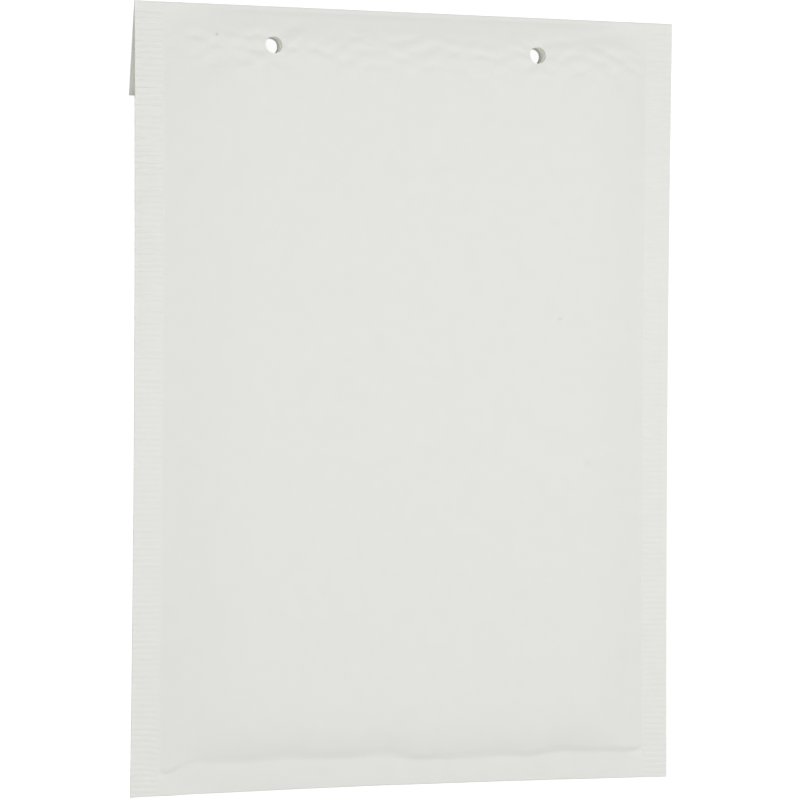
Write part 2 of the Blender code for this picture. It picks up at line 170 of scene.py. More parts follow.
class MeshParts:
    """Collects grids of points and the faces between them, and makes one object of them."""

    def __init__(self) -> None:
        """Starts empty."""
        self.points: list[Array] = []
        self.faces: list[Array] = []
        self.count = 0

    def add(self, points: Array) -> Array:
        """Adds points.

        Args:
            points: The points, with the coordinates last.

        Returns:
            Their numbers, in the same shape but for the coordinates.
        """
        flat = points.reshape(-1, 3)
        numbers = np.arange(self.count, self.count + len(flat)).reshape(points.shape[:-1])
        self.points.append(flat)
        self.count += len(flat)
        return numbers

    def quads(self, grid: Array, keep: Array | None = None) -> None:
        """Lays a quad in each cell of a grid of point numbers.

        Args:
            grid: Point numbers, rows by columns.
            keep: Which cells get a face. All of them, if it is None.
        """
        cells = np.stack([grid[:-1, :-1], grid[:-1, 1:], grid[1:, 1:], grid[1:, :-1]], axis=-1)
        self.faces.append(cells.reshape(-1, 4) if keep is None else cells[keep])

    def strip(self, first: Array, second: Array) -> None:
        """Lays quads between two rows of as many points."""
        self.quads(np.stack([first, second]))

    def sheet(
        self, outside: Array, inside: Array, keep: Array, holes: list[tuple]
    ) -> tuple[Array, Array]:
        """Lays both faces of a sheet and the walls of its holes.

        Args:
            outside: Points of the outer face, rows by columns.
            inside: Points of the inner face.
            keep: Which cells get a face.
            holes: First and last row and first and last column of each hole's block.

        Returns:
            The point numbers of both faces.
        """
        outer, inner = self.add(outside), self.add(inside)
        self.quads(outer, keep)
        self.quads(inner, keep)
        for rows, columns in holes:
            self.strip(perimeter(rows, columns, outer), perimeter(rows, columns, inner))
        return outer, inner

    def zip_rows(self, fine: Array, coarse: Array, match: Array) -> None:
        """Lays triangles between a fine row and a coarse row.

        Each fine edge is joined to the nearer end of the coarse edge beside it, and each coarse
        edge to the fine point where that nearer end changes.

        Args:
            fine: Point numbers of the fine row.
            coarse: Point numbers of the coarse row.
            match: Where in the fine row each point of the coarse row lies.
        """
        edges = np.arange(len(fine) - 1)
        cell = np.searchsorted(match, edges, side="right") - 1
        middle = (match[cell] + match[cell + 1]) / 2
        nearer = np.where(edges + 0.5 <= middle, cell, cell + 1)
        self.faces.append(np.stack([fine[edges], fine[edges + 1], coarse[nearer]], axis=-1))
        turn = match[:-1] + (np.diff(match) + 1) // 2
        self.faces.append(np.stack([coarse[:-1], fine[turn], coarse[1:]], axis=-1))

    def finish(self, name: str, material: Material, sharp: float = 40.0) -> Piece:
        """Makes the object, with its faces turned outwards and its sharp edges marked.

        Args:
            name: The piece's name.
            material: Its finish.
            sharp: Edges over this many degrees shade sharp.

        Returns:
            The object, linked to the scene.
        """
        faces = [face for block in self.faces for face in block.tolist()]
        data = bpy.data.meshes.new(name)
        data.from_pydata(np.concatenate(self.points), [], faces)
        turned = bmesh.new()
        turned.from_mesh(data)
        loose = [v for v in turned.verts if not v.link_faces]
        bmesh.ops.delete(turned, geom=loose, context="VERTS")
        bmesh.ops.recalc_face_normals(turned, faces=turned.faces)
        turned.to_mesh(data)
        turned.free()
        data.shade_smooth()
        data.set_sharp_from_angle(angle=math.radians(sharp))
        data.materials.append(material)
        piece = bpy.data.objects.new(name, data)
        bpy.context.scene.collection.objects.link(piece)
        return piece


@dataclass(frozen=True)
class PaddedFaces:
    """How far the two padded faces stand off the seam plane, and how the edges draw in."""

    width: float = 200.0 * MM
    height: float = 275.0 * MM
    paper: float = 0.25 * MM
    fold_radius: float = 0.5 * MM
    mouth_drop: float = 3.0 * MM
    seam_width: float = 10.0 * MM
    seam_thickness: float = 0.7 * MM
    front_puff: float = 4.5 * MM
    back_puff: float = 3.6 * MM
    side_rise: float = 29.0 * MM
    side_power: float = 1.6
    side_bulge: float = 3.0 * MM
    front_top_rise: float = 27.0 * MM
    front_top_power: float = 2.5
    back_top_rise: float = 60.0 * MM
    back_top_power: float = 2.0
    bottom_rise: float = 35.0 * MM
    bottom_power: float = 4.5
    crease_height: float = 11.8 * MM
    crease_floor: float = 1.25 * MM
    crease_dip_left: float = 2.8 * MM
    crease_dip_right: float = 1.0 * MM
    crease_dip_reach: float = 13.0 * MM
    crease_dip_fade: float = 3.0 * MM
    front_lip_rise: float = 0.15 * MM
    back_lip_rise: float = 0.5 * MM
    side_pull: float = 0.7 * MM
    bottom_pull: float = 1.0 * MM
    bottom_pull_reach: float = 25.0 * MM
    rest_depth: float = 3.0 * MM
    rest_at: float = 50.0 * MM

    @property
    def half_width(self) -> float:
        """Half the width."""
        return self.width / 2

    @property
    def half_height(self) -> float:
        """Half the height."""
        return self.height / 2

    @property
    def half_seam(self) -> float:
        """Half the seam's thickness."""
        return self.seam_thickness / 2

    @property
    def pocket_half(self) -> float:
        """From the middle line to a seam's inner edge."""
        return self.half_width - self.seam_width

    @property
    def fold_y(self) -> float:
        """y of the top fold's centre line."""
        return self.height - self.fold_radius

    @property
    def mouth_y(self) -> float:
        """y of the mouth's edge on the back."""
        return self.height - self.mouth_drop

    def along_middle(self, y: Array, puff: float, lip: float, rise: float, power: float) -> Array:
        """Stand-off along the middle line.

        From the bottom fold it climbs over the lip as half a sine wave, drops into the crease,
        rises steeply to the puff and eases down again to the top fold.

        Args:
            y: Places along.
            puff: The greatest stand-off.
            lip: The lip's height over the line from fold to crease.
            rise: Over what length the top eases up.
            power: How soon it does.

        Returns:
            The stand-off at each place.
        """
        top = self.fold_radius + (puff - self.fold_radius) * ease(self.fold_y - y, rise, power)
        above = ease(y - self.crease_height, self.bottom_rise, self.bottom_power)
        low = self.crease_floor + (puff - self.crease_floor) * above
        share = (y - self.fold_radius) / (self.crease_height - self.fold_radius)
        fall = self.fold_radius + (self.crease_floor - self.fold_radius) * share
        bottom = fall + lip * np.sin(math.pi * np.clip(share, 0.0, 1.0))
        return np.where(y > self.half_height, top, np.where(y > self.crease_height, low, bottom))

    def across(self, u: Array, middle: Array) -> Array:
        """Stand-off at u: half the seam in the seams, easing up to the middle line's value.

        Args:
            u: Places across.
            middle: The stand-off on the middle line.

        Returns:
            The stand-off at each place.
        """
        rise = self.side_rise - np.sign(u) * self.side_bulge
        share = ease(self.pocket_half - np.abs(u), rise, self.side_power)
        return self.half_seam + (middle - self.half_seam) * share

    def front(self, u: Array, y: Array) -> Array:
        """Outer face of the front above the seam plane, before the fine relief."""
        lip, rise, power = self.front_lip_rise, self.front_top_rise, self.front_top_power
        return self.across(u, self.along_middle(y, self.front_puff, lip, rise, power))

    def free_back(self, u: Array, y: Array) -> Array:
        """Outer face of the back below the seam plane, where nothing presses it."""
        lip, rise, power = self.back_lip_rise, self.back_top_rise, self.back_top_power
        return self.across(u, self.along_middle(y, self.back_puff, lip, rise, power))

    def back(self, u: Array, y: Array) -> Array:
        """Outer face of the back, cut off by the tilted plane of the floor where it lies on it.

        Args:
            u: Places across.
            y: Places along.

        Returns:
            The distance below the seam plane.
        """
        floor_at = self.rest_at - self.half_height
        floor = self.rest_depth + math.tan(POSE.tilt) * (self.in_plane(u, y)[1] - floor_at)
        return np.minimum(self.free_back(u, y), floor)

    def in_plane(self, u: Array, y: Array) -> tuple[Array, Array]:
        """(X, Y) of a place on a flat sheet, with the crease's waver and the edges drawn in.

        The crease strays by its waver, and dips by smoothsteps near the seams. The stray grows
        in proportion from the bottom fold to the crease and shrinks again above it. The bottom
        edge is drawn in as a parabola across, the sides as a parabola along.

        Args:
            u: Places across.
            y: Places along.

        Returns:
            X and Y in the envelope's frame.
        """
        inside = self.pocket_half - np.abs(u)
        dip = np.where(u < 0.0, self.crease_dip_left, self.crease_dip_right)
        dip = dip * smooth(1.0 - inside / self.crease_dip_reach)
        dip = dip * smooth(inside / self.crease_dip_fade)
        over = np.clip(1.0 - (y - self.crease_height) / self.bottom_rise, 0.0, 1.0)
        share = np.where(y < self.crease_height, y / self.crease_height, over)
        bow = (1.0 - (u / self.half_width) ** 2) * np.exp(-y / self.bottom_pull_reach)
        slim = 1.0 - (y / self.half_height - 1.0) ** 2
        x = u * (1.0 - self.side_pull / self.half_width * slim)
        return x, y - self.half_height + (waver(u) - dip) * share + self.bottom_pull * bow


# How far the crease over the bottom lip strays up or down, at u, all in millimetres
CREASE_STRAY = (
    (-95.0, 0.0), (-90.0, -1.6), (-84.0, 0.6), (-79.0, 1.6), (-59.4, 0.2), (-46.4, 1.3),
    (-27.0, 0.5), (-7.0, 1.1), (0.7, -0.9), (21.8, -1.4), (35.8, -0.5), (46.5, -1.3),
    (56.9, 0.6), (71.2, 0.0), (88.0, 0.1), (95.0, 0.0),
)  # fmt: skip
STRAY_STEP = 0.5 * MM
STRAY_BLUR = 2.0 * MM


def waver(u: Array) -> Array:
    """The crease's stray from its even line: straight runs between folds, blurred by a bell.

    Args:
        u: Places across.

    Returns:
        The stray at each place.
    """
    places, strays = np.array(CREASE_STRAY).T * MM
    even = np.arange(places[0], places[-1] + STRAY_STEP / 2, STRAY_STEP)
    window = bell(np.arange(-3 * STRAY_BLUR, 3 * STRAY_BLUR + TINY, STRAY_STEP), STRAY_BLUR)
    line = np.interp(even, places, strays)
    blurred = np.convolve(np.pad(line, len(window) // 2, "edge"), window / window.sum(), "valid")
    return np.interp(u, even, blurred[: len(even)])


FACES = PaddedFaces()


@dataclass(frozen=True)
class Flap:
    """The flap, which stands off the back from the top fold."""

    length: float = 32.5 * MM
    angle: float = math.radians(13.5)
    curl: float = 0.12 * MM
    curl_wave: float = 16.0 * MM
    curl_phase: float = 0.8

    def point(self, u: Array, reach: Array, offset: Array) -> Array:
        """A point this far along the flap and this far out from the fold's centre line.

        Between fold and edge the sheet sways by a few hundredths of a millimetre, as half a
        wave along and two waves across.

        Args:
            u: Places across.
            reach: Distance from the top fold.
            offset: Distance out of the flap's outer face, from the fold's centre line.

        Returns:
            Points of the envelope's frame.
        """
        sway = self.curl * np.sin(math.pi * reach / self.length)
        out = offset + sway * np.sin(u / self.curl_wave + self.curl_phase)
        c, s = math.cos(self.angle), math.sin(self.angle)
        y = FACES.fold_y - FACES.half_height - reach * c + out * s
        z = -reach * s - out * c
        return np.stack([u + 0 * y, y, z + 0 * u], axis=-1)


FLAP = Flap()


@dataclass(frozen=True)
class Holes:
    """The two holes punched through every layer, and how the grids are drawn round them."""

    diameter: float = 6.0 * MM
    spacing: float = 98.0 * MM
    offset: float = -2.2 * MM
    drop: float = 13.7 * MM
    cells: int = 8
    margin: float = 2.0
    slack: float = 0.003 * MM

    @property
    def radius(self) -> float:
        """Half the diameter."""
        return self.diameter / 2

    @property
    def us(self) -> tuple[float, float]:
        """u of the left and the right hole."""
        return self.offset - self.spacing / 2, self.offset + self.spacing / 2

    @property
    def y(self) -> float:
        """y of both holes on the front and the back."""
        return FACES.height - self.drop

    @property
    def reach(self) -> float:
        """About how far down the flap both holes are."""
        return self.drop / math.cos(FLAP.angle)

    def axis(self, u: float) -> Place:
        """The upright axis through the front at a hole.

        Args:
            u: The hole's place across.

        Returns:
            World (x, y) of the axis.
        """
        u_here, y_here = np.array(u), np.array(self.y)
        x_plane, y_plane = FACES.in_plane(u_here, y_here)
        point = np.array([x_plane, y_plane, FACES.front(u_here, y_here)])
        return tuple(POSE.place(point)[:2])

    def stops(self, centre: float, radius: float) -> list[float]:
        """The four stops of the grid lines round a hole: two of its margin and two of its block."""
        reach = radius * (1.0 + self.margin)
        return [centre - reach, centre - radius, centre + radius, centre + reach]

    def draw_round(
        self, a: Array, b: Array, nominal: Place, true: Place, radii: Place
    ) -> tuple[Array, Array]:
        """Draws the square block of cells round a hole into a circle.

        With m the larger and e the true distance from the centre, both in radii, a point's
        offset is multiplied by m over e at the block, so that the square's edge lands on the
        circle. The change fades as a smoothstep until m reaches one plus the margin.

        Args:
            a: First coordinate of the grid.
            b: Second coordinate.
            nominal: The block's centre in the plain grid.
            true: The hole's centre.
            radii: The hole's half sizes along a and b.

        Returns:
            Both coordinates, drawn round.
        """
        da, db = (a - nominal[0]) / radii[0], (b - nominal[1]) / radii[1]
        larger = np.maximum(np.abs(da), np.abs(db))
        distance = np.maximum(np.hypot(da, db), TINY)
        near = 1.0 - smooth((larger - 1.0) / self.margin)
        grow = 1.0 + (larger / distance - 1.0) * near
        new_a = nominal[0] + da * grow * radii[0] + (true[0] - nominal[0]) * near
        new_b = nominal[1] + db * grow * radii[1] + (true[1] - nominal[1]) * near
        return new_a, new_b


HOLES = Holes()


FIND_STEP = 0.01 * MM
FIND_ROUNDS = 8


def find_on_sheet(shape: Surface, start: Place, target: Place) -> Place:
    """The two parameters at which a sheet's function meets an upright axis.

    Newton's way in both parameters, with the slopes from small steps.

    Args:
        shape: Function of two arrays that gives points in the row frame.
        start: A first guess.
        target: World (x, y) of the axis.

    Returns:
        The two parameters.
    """
    at = np.array(start, float)
    step = FIND_STEP
    for _ in range(FIND_ROUNDS):
        here = shape(np.array(at[0]), np.array(at[1]))[:2]
        beside = shape(np.array(at[0] + step), np.array(at[1]))[:2]
        beyond = shape(np.array(at[0]), np.array(at[1] + step))[:2]
        slopes = np.stack([beside - here, beyond - here], axis=1) / step
        at -= np.linalg.solve(slopes, here - np.array(target))
    return float(at[0]), float(at[1])


def perimeter(rows: tuple[int, int], columns: tuple[int, int], grid: Array) -> Array:
    """The closed loop of point numbers round a block of a grid, its first number again last.

    Args:
        rows: First and last row of the block.
        columns: First and last column.
        grid: The point numbers.

    Returns:
        The numbers in order.
    """
    (r0, r1), (c0, c1) = rows, columns
    there, back = (grid[r0, c0:c1], grid[r0:r1, c1]), (grid[r1, c1:c0:-1], grid[r1:r0:-1, c0])
    return np.concatenate([*there, *back, grid[r0, c0 : c0 + 1]])


@dataclass(frozen=True)
class Band:
    """A stretch between two distances, with a smooth fade inside each of its ends."""

    start: float
    end: float
    fade_in: float
    fade_out: float

    def share(self, at: Array) -> Array:
        """1 inside the stretch, falling as a smoothstep to 0 at both of its ends."""
        return smooth((at - self.start) / self.fade_in) * smooth((self.end - at) / self.fade_out)


@dataclass(frozen=True)
class Relief:
    """Fine forms on the front that the plain CAD leaves out, all under a millimetre.

    In its methods, d is the distance from the top edge, and y the one from the bottom fold.
    """

    seam_fade: float = 4.0 * MM
    top_fade: float = 3.0 * MM
    bottom_fade: float = 2.0 * MM
    bubble_pitch: float = 11.5 * MM
    bubble_mark: float = 0.13 * MM
    marked: Band = Band(14.0 * MM, 31.0 * MM, 3.0 * MM, 3.0 * MM)
    shoulder: float = 0.20 * MM
    shoulder_at: float = 5.5 * MM
    shoulder_width: float = 2.6 * MM
    edge_depth: float = 0.14 * MM
    edge_line: float = 28.0 * MM
    edge_width: float = 0.9 * MM
    edge_waves: tuple[float, float] = (7.0 * MM, 23.0 * MM)
    edge_phase: float = 1.1
    corner_depth: float = 0.40 * MM
    corner_width: float = 1.6 * MM
    corner_left: Segment = ((-88.0 * MM, 27.0 * MM), (-36.0 * MM, 4.0 * MM))
    corner_right: Segment = ((36.0 * MM, 13.0 * MM), (88.0 * MM, 3.0 * MM))
    corner_right_share: float = 0.8
    side_line: float = 0.07 * MM
    valley: tuple[float, float] = (85.5 * MM, 1.4 * MM)
    valley_span: Band = Band(30.0 * MM, 175.0 * MM, 30.0 * MM, 30.0 * MM)
    ridge: tuple[float, float] = (66.0 * MM, 3.0 * MM)
    ridge_span: Band = Band(70.0 * MM, 140.0 * MM, 20.0 * MM, 20.0 * MM)
    pucker: float = 0.10 * MM
    pucker_waves: tuple[float, ...] = (2.9 * MM, 17.0 * MM, 11.0 * MM)
    pucker_bend: float = 1.5
    pucker_phase: float = 0.6
    crease_fade: float = 9.0 * MM
    cockle: float = 0.045 * MM
    cockle_first: tuple[float, ...] = (13.0 * MM, 31.0 * MM, 19.0 * MM, 47.0 * MM)
    cockle_second: tuple[float, ...] = (29.0 * MM, 23.0 * MM, 37.0 * MM)
    wrinkle: float = 0.20 * MM
    wrinkle_waves: int = 28
    wrinkle_length: tuple[float, float] = (3.8 * MM, 8.0 * MM)
    wrinkle_seed: int = 5
    wrinkle_crest: float = 0.24 * MM
    wrinkled: Band = Band(6.0 * MM, 33.0 * MM, 5.0 * MM, 8.0 * MM)
    crease_roll: float = 0.92 * MM
    roll_below: float = 2.0 * MM
    roll_width: float = 2.5 * MM
    roll_waves: tuple[float, float] = (9.0 * MM, 21.0 * MM)
    roll_uneven: float = 0.2
    roll_bend: float = 2.2
    tip_depth: float = 0.36 * MM
    tip_width: float = 0.7 * MM
    tip_reach: float = 1.5 * MM
    tip_fade: float = 2.0 * MM
    tip_left: Segment = ((-93.5 * MM, 6.6 * MM), (-85.0 * MM, 11.0 * MM))
    tip_right: Segment = ((84.0 * MM, 11.4 * MM), (93.5 * MM, 9.4 * MM))

    def height(self, u: Array, y: Array) -> Array:
        """The fine relief added to the front's stand-off.

        It is the sum of all forms, held to 0 in the seams and at both folds. The tips of the
        bottom crease alone run a little way into the seams.

        Args:
            u: Places across.
            y: Places along.

        Returns:
            The height at each place.
        """
        d = FACES.height - y
        within = FACES.pocket_half - np.abs(u)
        inside = smooth(within / self.seam_fade)
        ends = smooth(d / self.top_fade) * smooth(y / self.bottom_fade)
        parts = (
            self.bubble_marks(u, y, d),
            self.top_band(u, d),
            self.corner_creases(u, d),
            self.side_lines(u, d),
            self.puckers(u, y),
            self.cockles(u, y),
            self.wrinkles(u, d),
            self.crease_edge(u, y),
        )
        tips = smooth((within + self.tip_reach) / self.tip_fade)
        return ends * (inside * sum(parts) + tips * self.crease_tips(u, y))

    def bubble_marks(self, u: Array, y: Array, d: Array) -> Array:
        """Bubbles pressed through near the flap: three plane waves that meet on a lattice.

        Args:
            u: Places across.
            y: Places along, from the bottom fold.
            d: The same, from the top edge.

        Returns:
            The height at each place.
        """
        k = 4.0 * math.pi / (math.sqrt(3.0) * self.bubble_pitch)
        turns = (0.0, math.pi / 3.0, 2.0 * math.pi / 3.0)
        waves = sum(np.cos(k * (u * math.sin(t) + y * math.cos(t))) for t in turns) / 3.0
        return self.bubble_mark * waves * self.marked.share(d)

    def top_band(self, u: Array, d: Array) -> Array:
        """The flat shoulder under the top fold and the faint line of the strip's edge behind.

        Both are bells of the distance down. The line is broken by a product of two sines.

        Args:
            u: Places across.
            d: Places along, from the top edge.

        Returns:
            The height at each place.
        """
        short, long = self.edge_waves
        shoulder = -self.shoulder * bell(d - self.shoulder_at, self.shoulder_width)
        broken = 0.5 + 0.5 * np.sin(u / short + self.edge_phase) * np.sin(u / long)
        return shoulder - self.edge_depth * bell(d - self.edge_line, self.edge_width) * broken

    def corner_creases(self, u: Array, d: Array) -> Array:
        """Two creases that slant from the top band down to the sides.

        Args:
            u: Places across.
            d: Places along, from the top edge.

        Returns:
            The height at each place.
        """
        left = segment_bell(u, d, *self.corner_left, self.corner_width)
        right = segment_bell(u, d, *self.corner_right, self.corner_width)
        return -self.corner_depth * (left + self.corner_right_share * right)

    def side_lines(self, u: Array, d: Array) -> Array:
        """A narrow valley inside the right seam and a low ridge beside it, both bells across.

        Args:
            u: Places across.
            d: Places along, from the top edge.

        Returns:
            The height at each place.
        """
        valley = bell(u - self.valley[0], self.valley[1]) * self.valley_span.share(d)
        ridge = bell(u - self.ridge[0], self.ridge[1]) * self.ridge_span.share(d)
        return self.side_line * (ridge - valley)

    def puckers(self, u: Array, y: Array) -> Array:
        """Short upright puckers over the bottom crease: waves across, dying away upwards.

        Args:
            u: Places across.
            y: Places along.

        Returns:
            The height at each place.
        """
        pitch, stray, group = self.pucker_waves
        over = np.maximum(y - FACES.crease_height, 0.0)
        fade = smooth(y / FACES.crease_height) * np.exp(-over / self.crease_fade)
        waves = np.sin(u / pitch + self.pucker_bend * np.sin(u / stray))
        return self.pucker * (waves * np.sin(u / group + self.pucker_phase)) * fade

    def wrinkles(self, u: Array, d: Array) -> Array:
        """Short crossing wrinkles in the band over the flap.

        They are the sum of plane waves whose slants, lengths and phases are drawn at random, with
        the crests pressed down by a hyperbolic tangent.

        Args:
            u: Places across.
            d: Places along, from the top edge.

        Returns:
            The height at each place.
        """
        rng = np.random.default_rng(self.wrinkle_seed)
        total = 0.0
        for _ in range(self.wrinkle_waves):
            lean, phase = rng.uniform(-1.0, 1.0), rng.uniform(0.0, 2.0 * math.pi)
            high = rng.uniform(*self.wrinkle_length)
            total = total + np.cos(2.0 * math.pi * (d + lean * u) / high + phase)
        swell = self.wrinkle * math.sqrt(2.0 / self.wrinkle_waves) * total
        pressed = self.wrinkle_crest * np.tanh(swell / self.wrinkle_crest)
        return np.where(swell > 0.0, pressed, swell) * self.wrinkled.share(d)

    def crease_edge(self, u: Array, y: Array) -> Array:
        """The padding's rolled edge over the crease: a steep smoothstep that dies away upwards.

        Args:
            u: Places across.
            y: Places along.

        Returns:
            The height at each place.
        """
        short, long = self.roll_waves
        waves = np.sin(u / short + self.roll_bend * np.sin(u / long))
        broken = 1.0 - self.roll_uneven + self.roll_uneven * waves
        over = np.maximum(y - FACES.crease_height + self.roll_below, 0.0)
        climb = smooth(over / self.roll_width) * np.exp(-over / self.crease_fade)
        return self.crease_roll * climb * broken

    def crease_tips(self, u: Array, y: Array) -> Array:
        """The crease's two ends, which run on into the seams as sharp slanting folds.

        Args:
            u: Places across.
            y: Places along.

        Returns:
            The height at each place.
        """
        left = segment_bell(u, y, *self.tip_left, self.tip_width)
        right = segment_bell(u, y, *self.tip_right, self.tip_width)
        return -self.tip_depth * (left + right)

    def cockles(self, u: Array, y: Array) -> Array:
        """Slow unevenness of the whole sheet: two products of long crossing sines.

        Args:
            u: Places across.
            y: Places along.

        Returns:
            The height at each place.
        """
        a, b, c, d = self.cockle_first
        first = np.sin(u / a + y / b) * np.sin(y / c - u / d)
        a, b, c = self.cockle_second
        second = np.sin(u / a - y / b + 2.0) * np.sin(y / c + 1.0)
        return self.cockle * (first + second) / 2


RELIEF = Relief()


class Run(IntEnum):
    """The runs of the folded sheet, in order from the flap's edge to the mouth."""

    FLAP = 0
    TOP_FOLD = 1
    FRONT = 2
    BOTTOM_FOLD = 3
    BACK = 4


@dataclass
class PaperSheet:
    """The one paper sheet: flap, top fold, front, bottom fold and back, with crimped seams."""

    rib_pitch: float = 2.0 * MM
    rib_depth: float = 0.38 * MM
    rib_fade: float = 1.2 * MM
    rib_sharp: float = 6.0
    faint_depth: float = 0.13 * MM
    faint_below: float = 90.0 * MM
    faint_reach: float = 110.0 * MM
    rib_points: int = 8
    rib_uneven: float = 0.2
    rib_beat: float = 2.4
    seam_gap: float = 0.01 * MM
    fold_steps: int = 10
    punch_dent: float = 0.10 * MM
    dent_reach: float = 0.9 * MM
    seam_step: float = 0.5 * MM
    seam_middle: float = 5.5 * MM
    wide_step: float = 1.6 * MM
    dense_below: float = 24.0 * MM

    def ribs(self, u: Array, y: Array) -> Array:
        """The crimping along y, fading out at the seam's inner edge and at the mouth.

        It is 1 less twice a power of a sine's size, which makes narrow grooves with a broad
        ridge between them. Each rib has a depth of its own, and only the left seam's upper part
        has deep ones.

        Args:
            u: Places across.
            y: Places along.

        Returns:
            The height at each place.
        """
        inner, span = FACES.pocket_half, Band(FACES.fold_radius, FACES.mouth_y, MM, MM)
        fade = smooth((np.abs(u) - inner) / self.rib_fade)
        turn = math.pi * (y - FACES.fold_radius) / self.rib_pitch
        wave = 1.0 - 2.0 * np.abs(np.sin(turn)) ** self.rib_sharp
        upper_left = (np.sign(u) < 0) * smooth((y - self.faint_below) / self.faint_reach)
        beat = np.sin(self.rib_beat * np.round(turn / math.pi) ** 2)
        each = 1.0 - self.rib_uneven + self.rib_uneven * beat
        depth = self.faint_depth + (self.rib_depth - self.faint_depth) * upper_left
        return depth / 2 * wave * fade * span.share(y) * each

    def dent(self, u: Array, y: Array) -> Array:
        """How far the punch has pressed the sheet down: most at a hole's rim, then dying away.

        Args:
            u: Places across.
            y: Places along.

        Returns:
            The depth at each place.
        """
        total = 0.0
        for centre in HOLES.us:
            away = np.hypot(u - centre, y - HOLES.y) - HOLES.radius
            total = total + np.exp(-np.maximum(away, 0.0) / self.dent_reach)
        return self.punch_dent * total

    def front_z(self, u: Array, y: Array) -> Array:
        """Outer face of the front, which meets the top fold over the last 3 mm.

        Args:
            u: Places across.
            y: Places along.

        Returns:
            The height over the seam plane.
        """
        plain = FACES.front(u, y) + RELIEF.height(u, y) - self.dent(u, y)
        up = smooth((y - FACES.mouth_y) / (FACES.fold_y - FACES.mouth_y))
        return plain + (FACES.fold_radius - plain) * up + self.ribs(u, y)

    def inset(self, u: Array, y: Array) -> Array:
        """Thickness of the sheet in front and back: in the seams the two nearly meet.

        Args:
            u: Places across.
            y: Places along.

        Returns:
            The thickness at each place.
        """
        seam = 1.0 - np.clip((FACES.pocket_half - np.abs(u)) / self.seam_step, 0.0, 1.0)
        shut = seam * smooth((FACES.mouth_y - y) / MM)
        return FACES.paper + (FACES.half_seam - self.seam_gap - FACES.paper) * shut

    def points(self, u: Array, run: Array, at: Array, inner: bool) -> Array:
        """Points of the sheet's outer or inner face in the row frame.

        The flap is a plane, the folds are arcs about lines along X, and front and back are
        heights over the seam plane.

        Args:
            u: Places across.
            run: The Run that each point is in.
            at: Reach on the flap, angle on the folds and y on the faces.
            inner: Whether the inner face is wanted.

        Returns:
            Points, in the shape of u with the three coordinates last.
        """
        sink = 1.0 if inner else 0.0
        flap = FLAP.point(u, at, FACES.fold_radius - sink * FACES.paper + 0 * at)
        top = self.arc(u, at, FACES.fold_y, FACES.fold_radius - sink * FACES.paper + 0 * u)
        x, y = FACES.in_plane(u, at)
        front = np.stack([x, y, self.front_z(u, at) - sink * self.inset(u, at)], axis=-1)
        depth = FACES.back(u, at) - sink * self.inset(u, at)
        back = np.stack([x, y, self.ribs(u, at) - depth], axis=-1)
        low = np.full_like(u, FACES.fold_radius)
        radius = FACES.front(u, low) - sink * self.inset(u, low)
        bottom = self.arc(u, at, FACES.fold_radius, radius)
        kind = run[..., None]
        faces = np.where(kind == Run.FRONT, front, back)
        folds = np.where(kind == Run.TOP_FOLD, top, bottom)
        is_fold = (kind == Run.TOP_FOLD) | (kind == Run.BOTTOM_FOLD)
        return POSE.place(np.where(kind == Run.FLAP, flap, np.where(is_fold, folds, faces)))

    def arc(self, u: Array, angle: Array, y_centre: float, radius: Array) -> Array:
        """Points round a fold along X, at an angle from +Y towards +Z."""
        x, y = FACES.in_plane(u, np.full_like(u, y_centre))
        return np.stack([x, y + radius * np.cos(angle), radius * np.sin(angle)], axis=-1)

    def columns(self) -> Array:
        """The pocket's columns, close together round the holes and beside the seams.

        Returns:
            u of each column.
        """
        left, right = (HOLES.stops(u, HOLES.radius) for u in HOLES.us)
        half, near, wide = FACES.pocket_half, self.seam_step, self.wide_step
        cell = 2 * HOLES.radius / HOLES.cells
        stops = [-half, near - half, *left, *right, half - near, half]
        return join_spreads(stops, [near, wide, MM, cell, MM, wide, MM, cell, MM, wide, near])

    def rows(self) -> tuple[Array, Array]:
        """The pocket's rows, from the flap's edge to the mouth.

        Returns:
            The Run and the parameter of each row.
        """
        cell = 2 * HOLES.radius / HOLES.cells
        hole_stops = HOLES.stops(HOLES.y, HOLES.radius)
        low = [FACES.fold_radius, self.dense_below]
        flap_steps = [2 * MM, MM, cell, MM, 2 * MM]
        flap = join_spreads([0.0, *HOLES.stops(HOLES.reach, HOLES.radius), FLAP.length], flap_steps)
        front_steps = [0.6 * MM, 3.4 * MM, MM, cell, MM, MM, MM]
        front = join_spreads([*low, *hole_stops, FACES.mouth_y, FACES.fold_y], front_steps)
        back_steps = [1.5 * MM, 4.5 * MM, 1.5 * MM, cell, 1.5 * MM, 1.5 * MM]
        back = join_spreads([*low, *hole_stops, FACES.mouth_y], back_steps)
        top = np.linspace(FLAP.angle - math.pi / 2, math.pi / 2, self.fold_steps + 1)[1:-1]
        bottom = np.linspace(math.pi / 2, 1.5 * math.pi, self.fold_steps + 1)[1:-1]
        ats = (flap[::-1], top, front[::-1], bottom, back)
        runs = [np.full(len(at), int(run)) for run, at in zip(Run, ats)]
        return np.concatenate(runs), np.concatenate(ats)

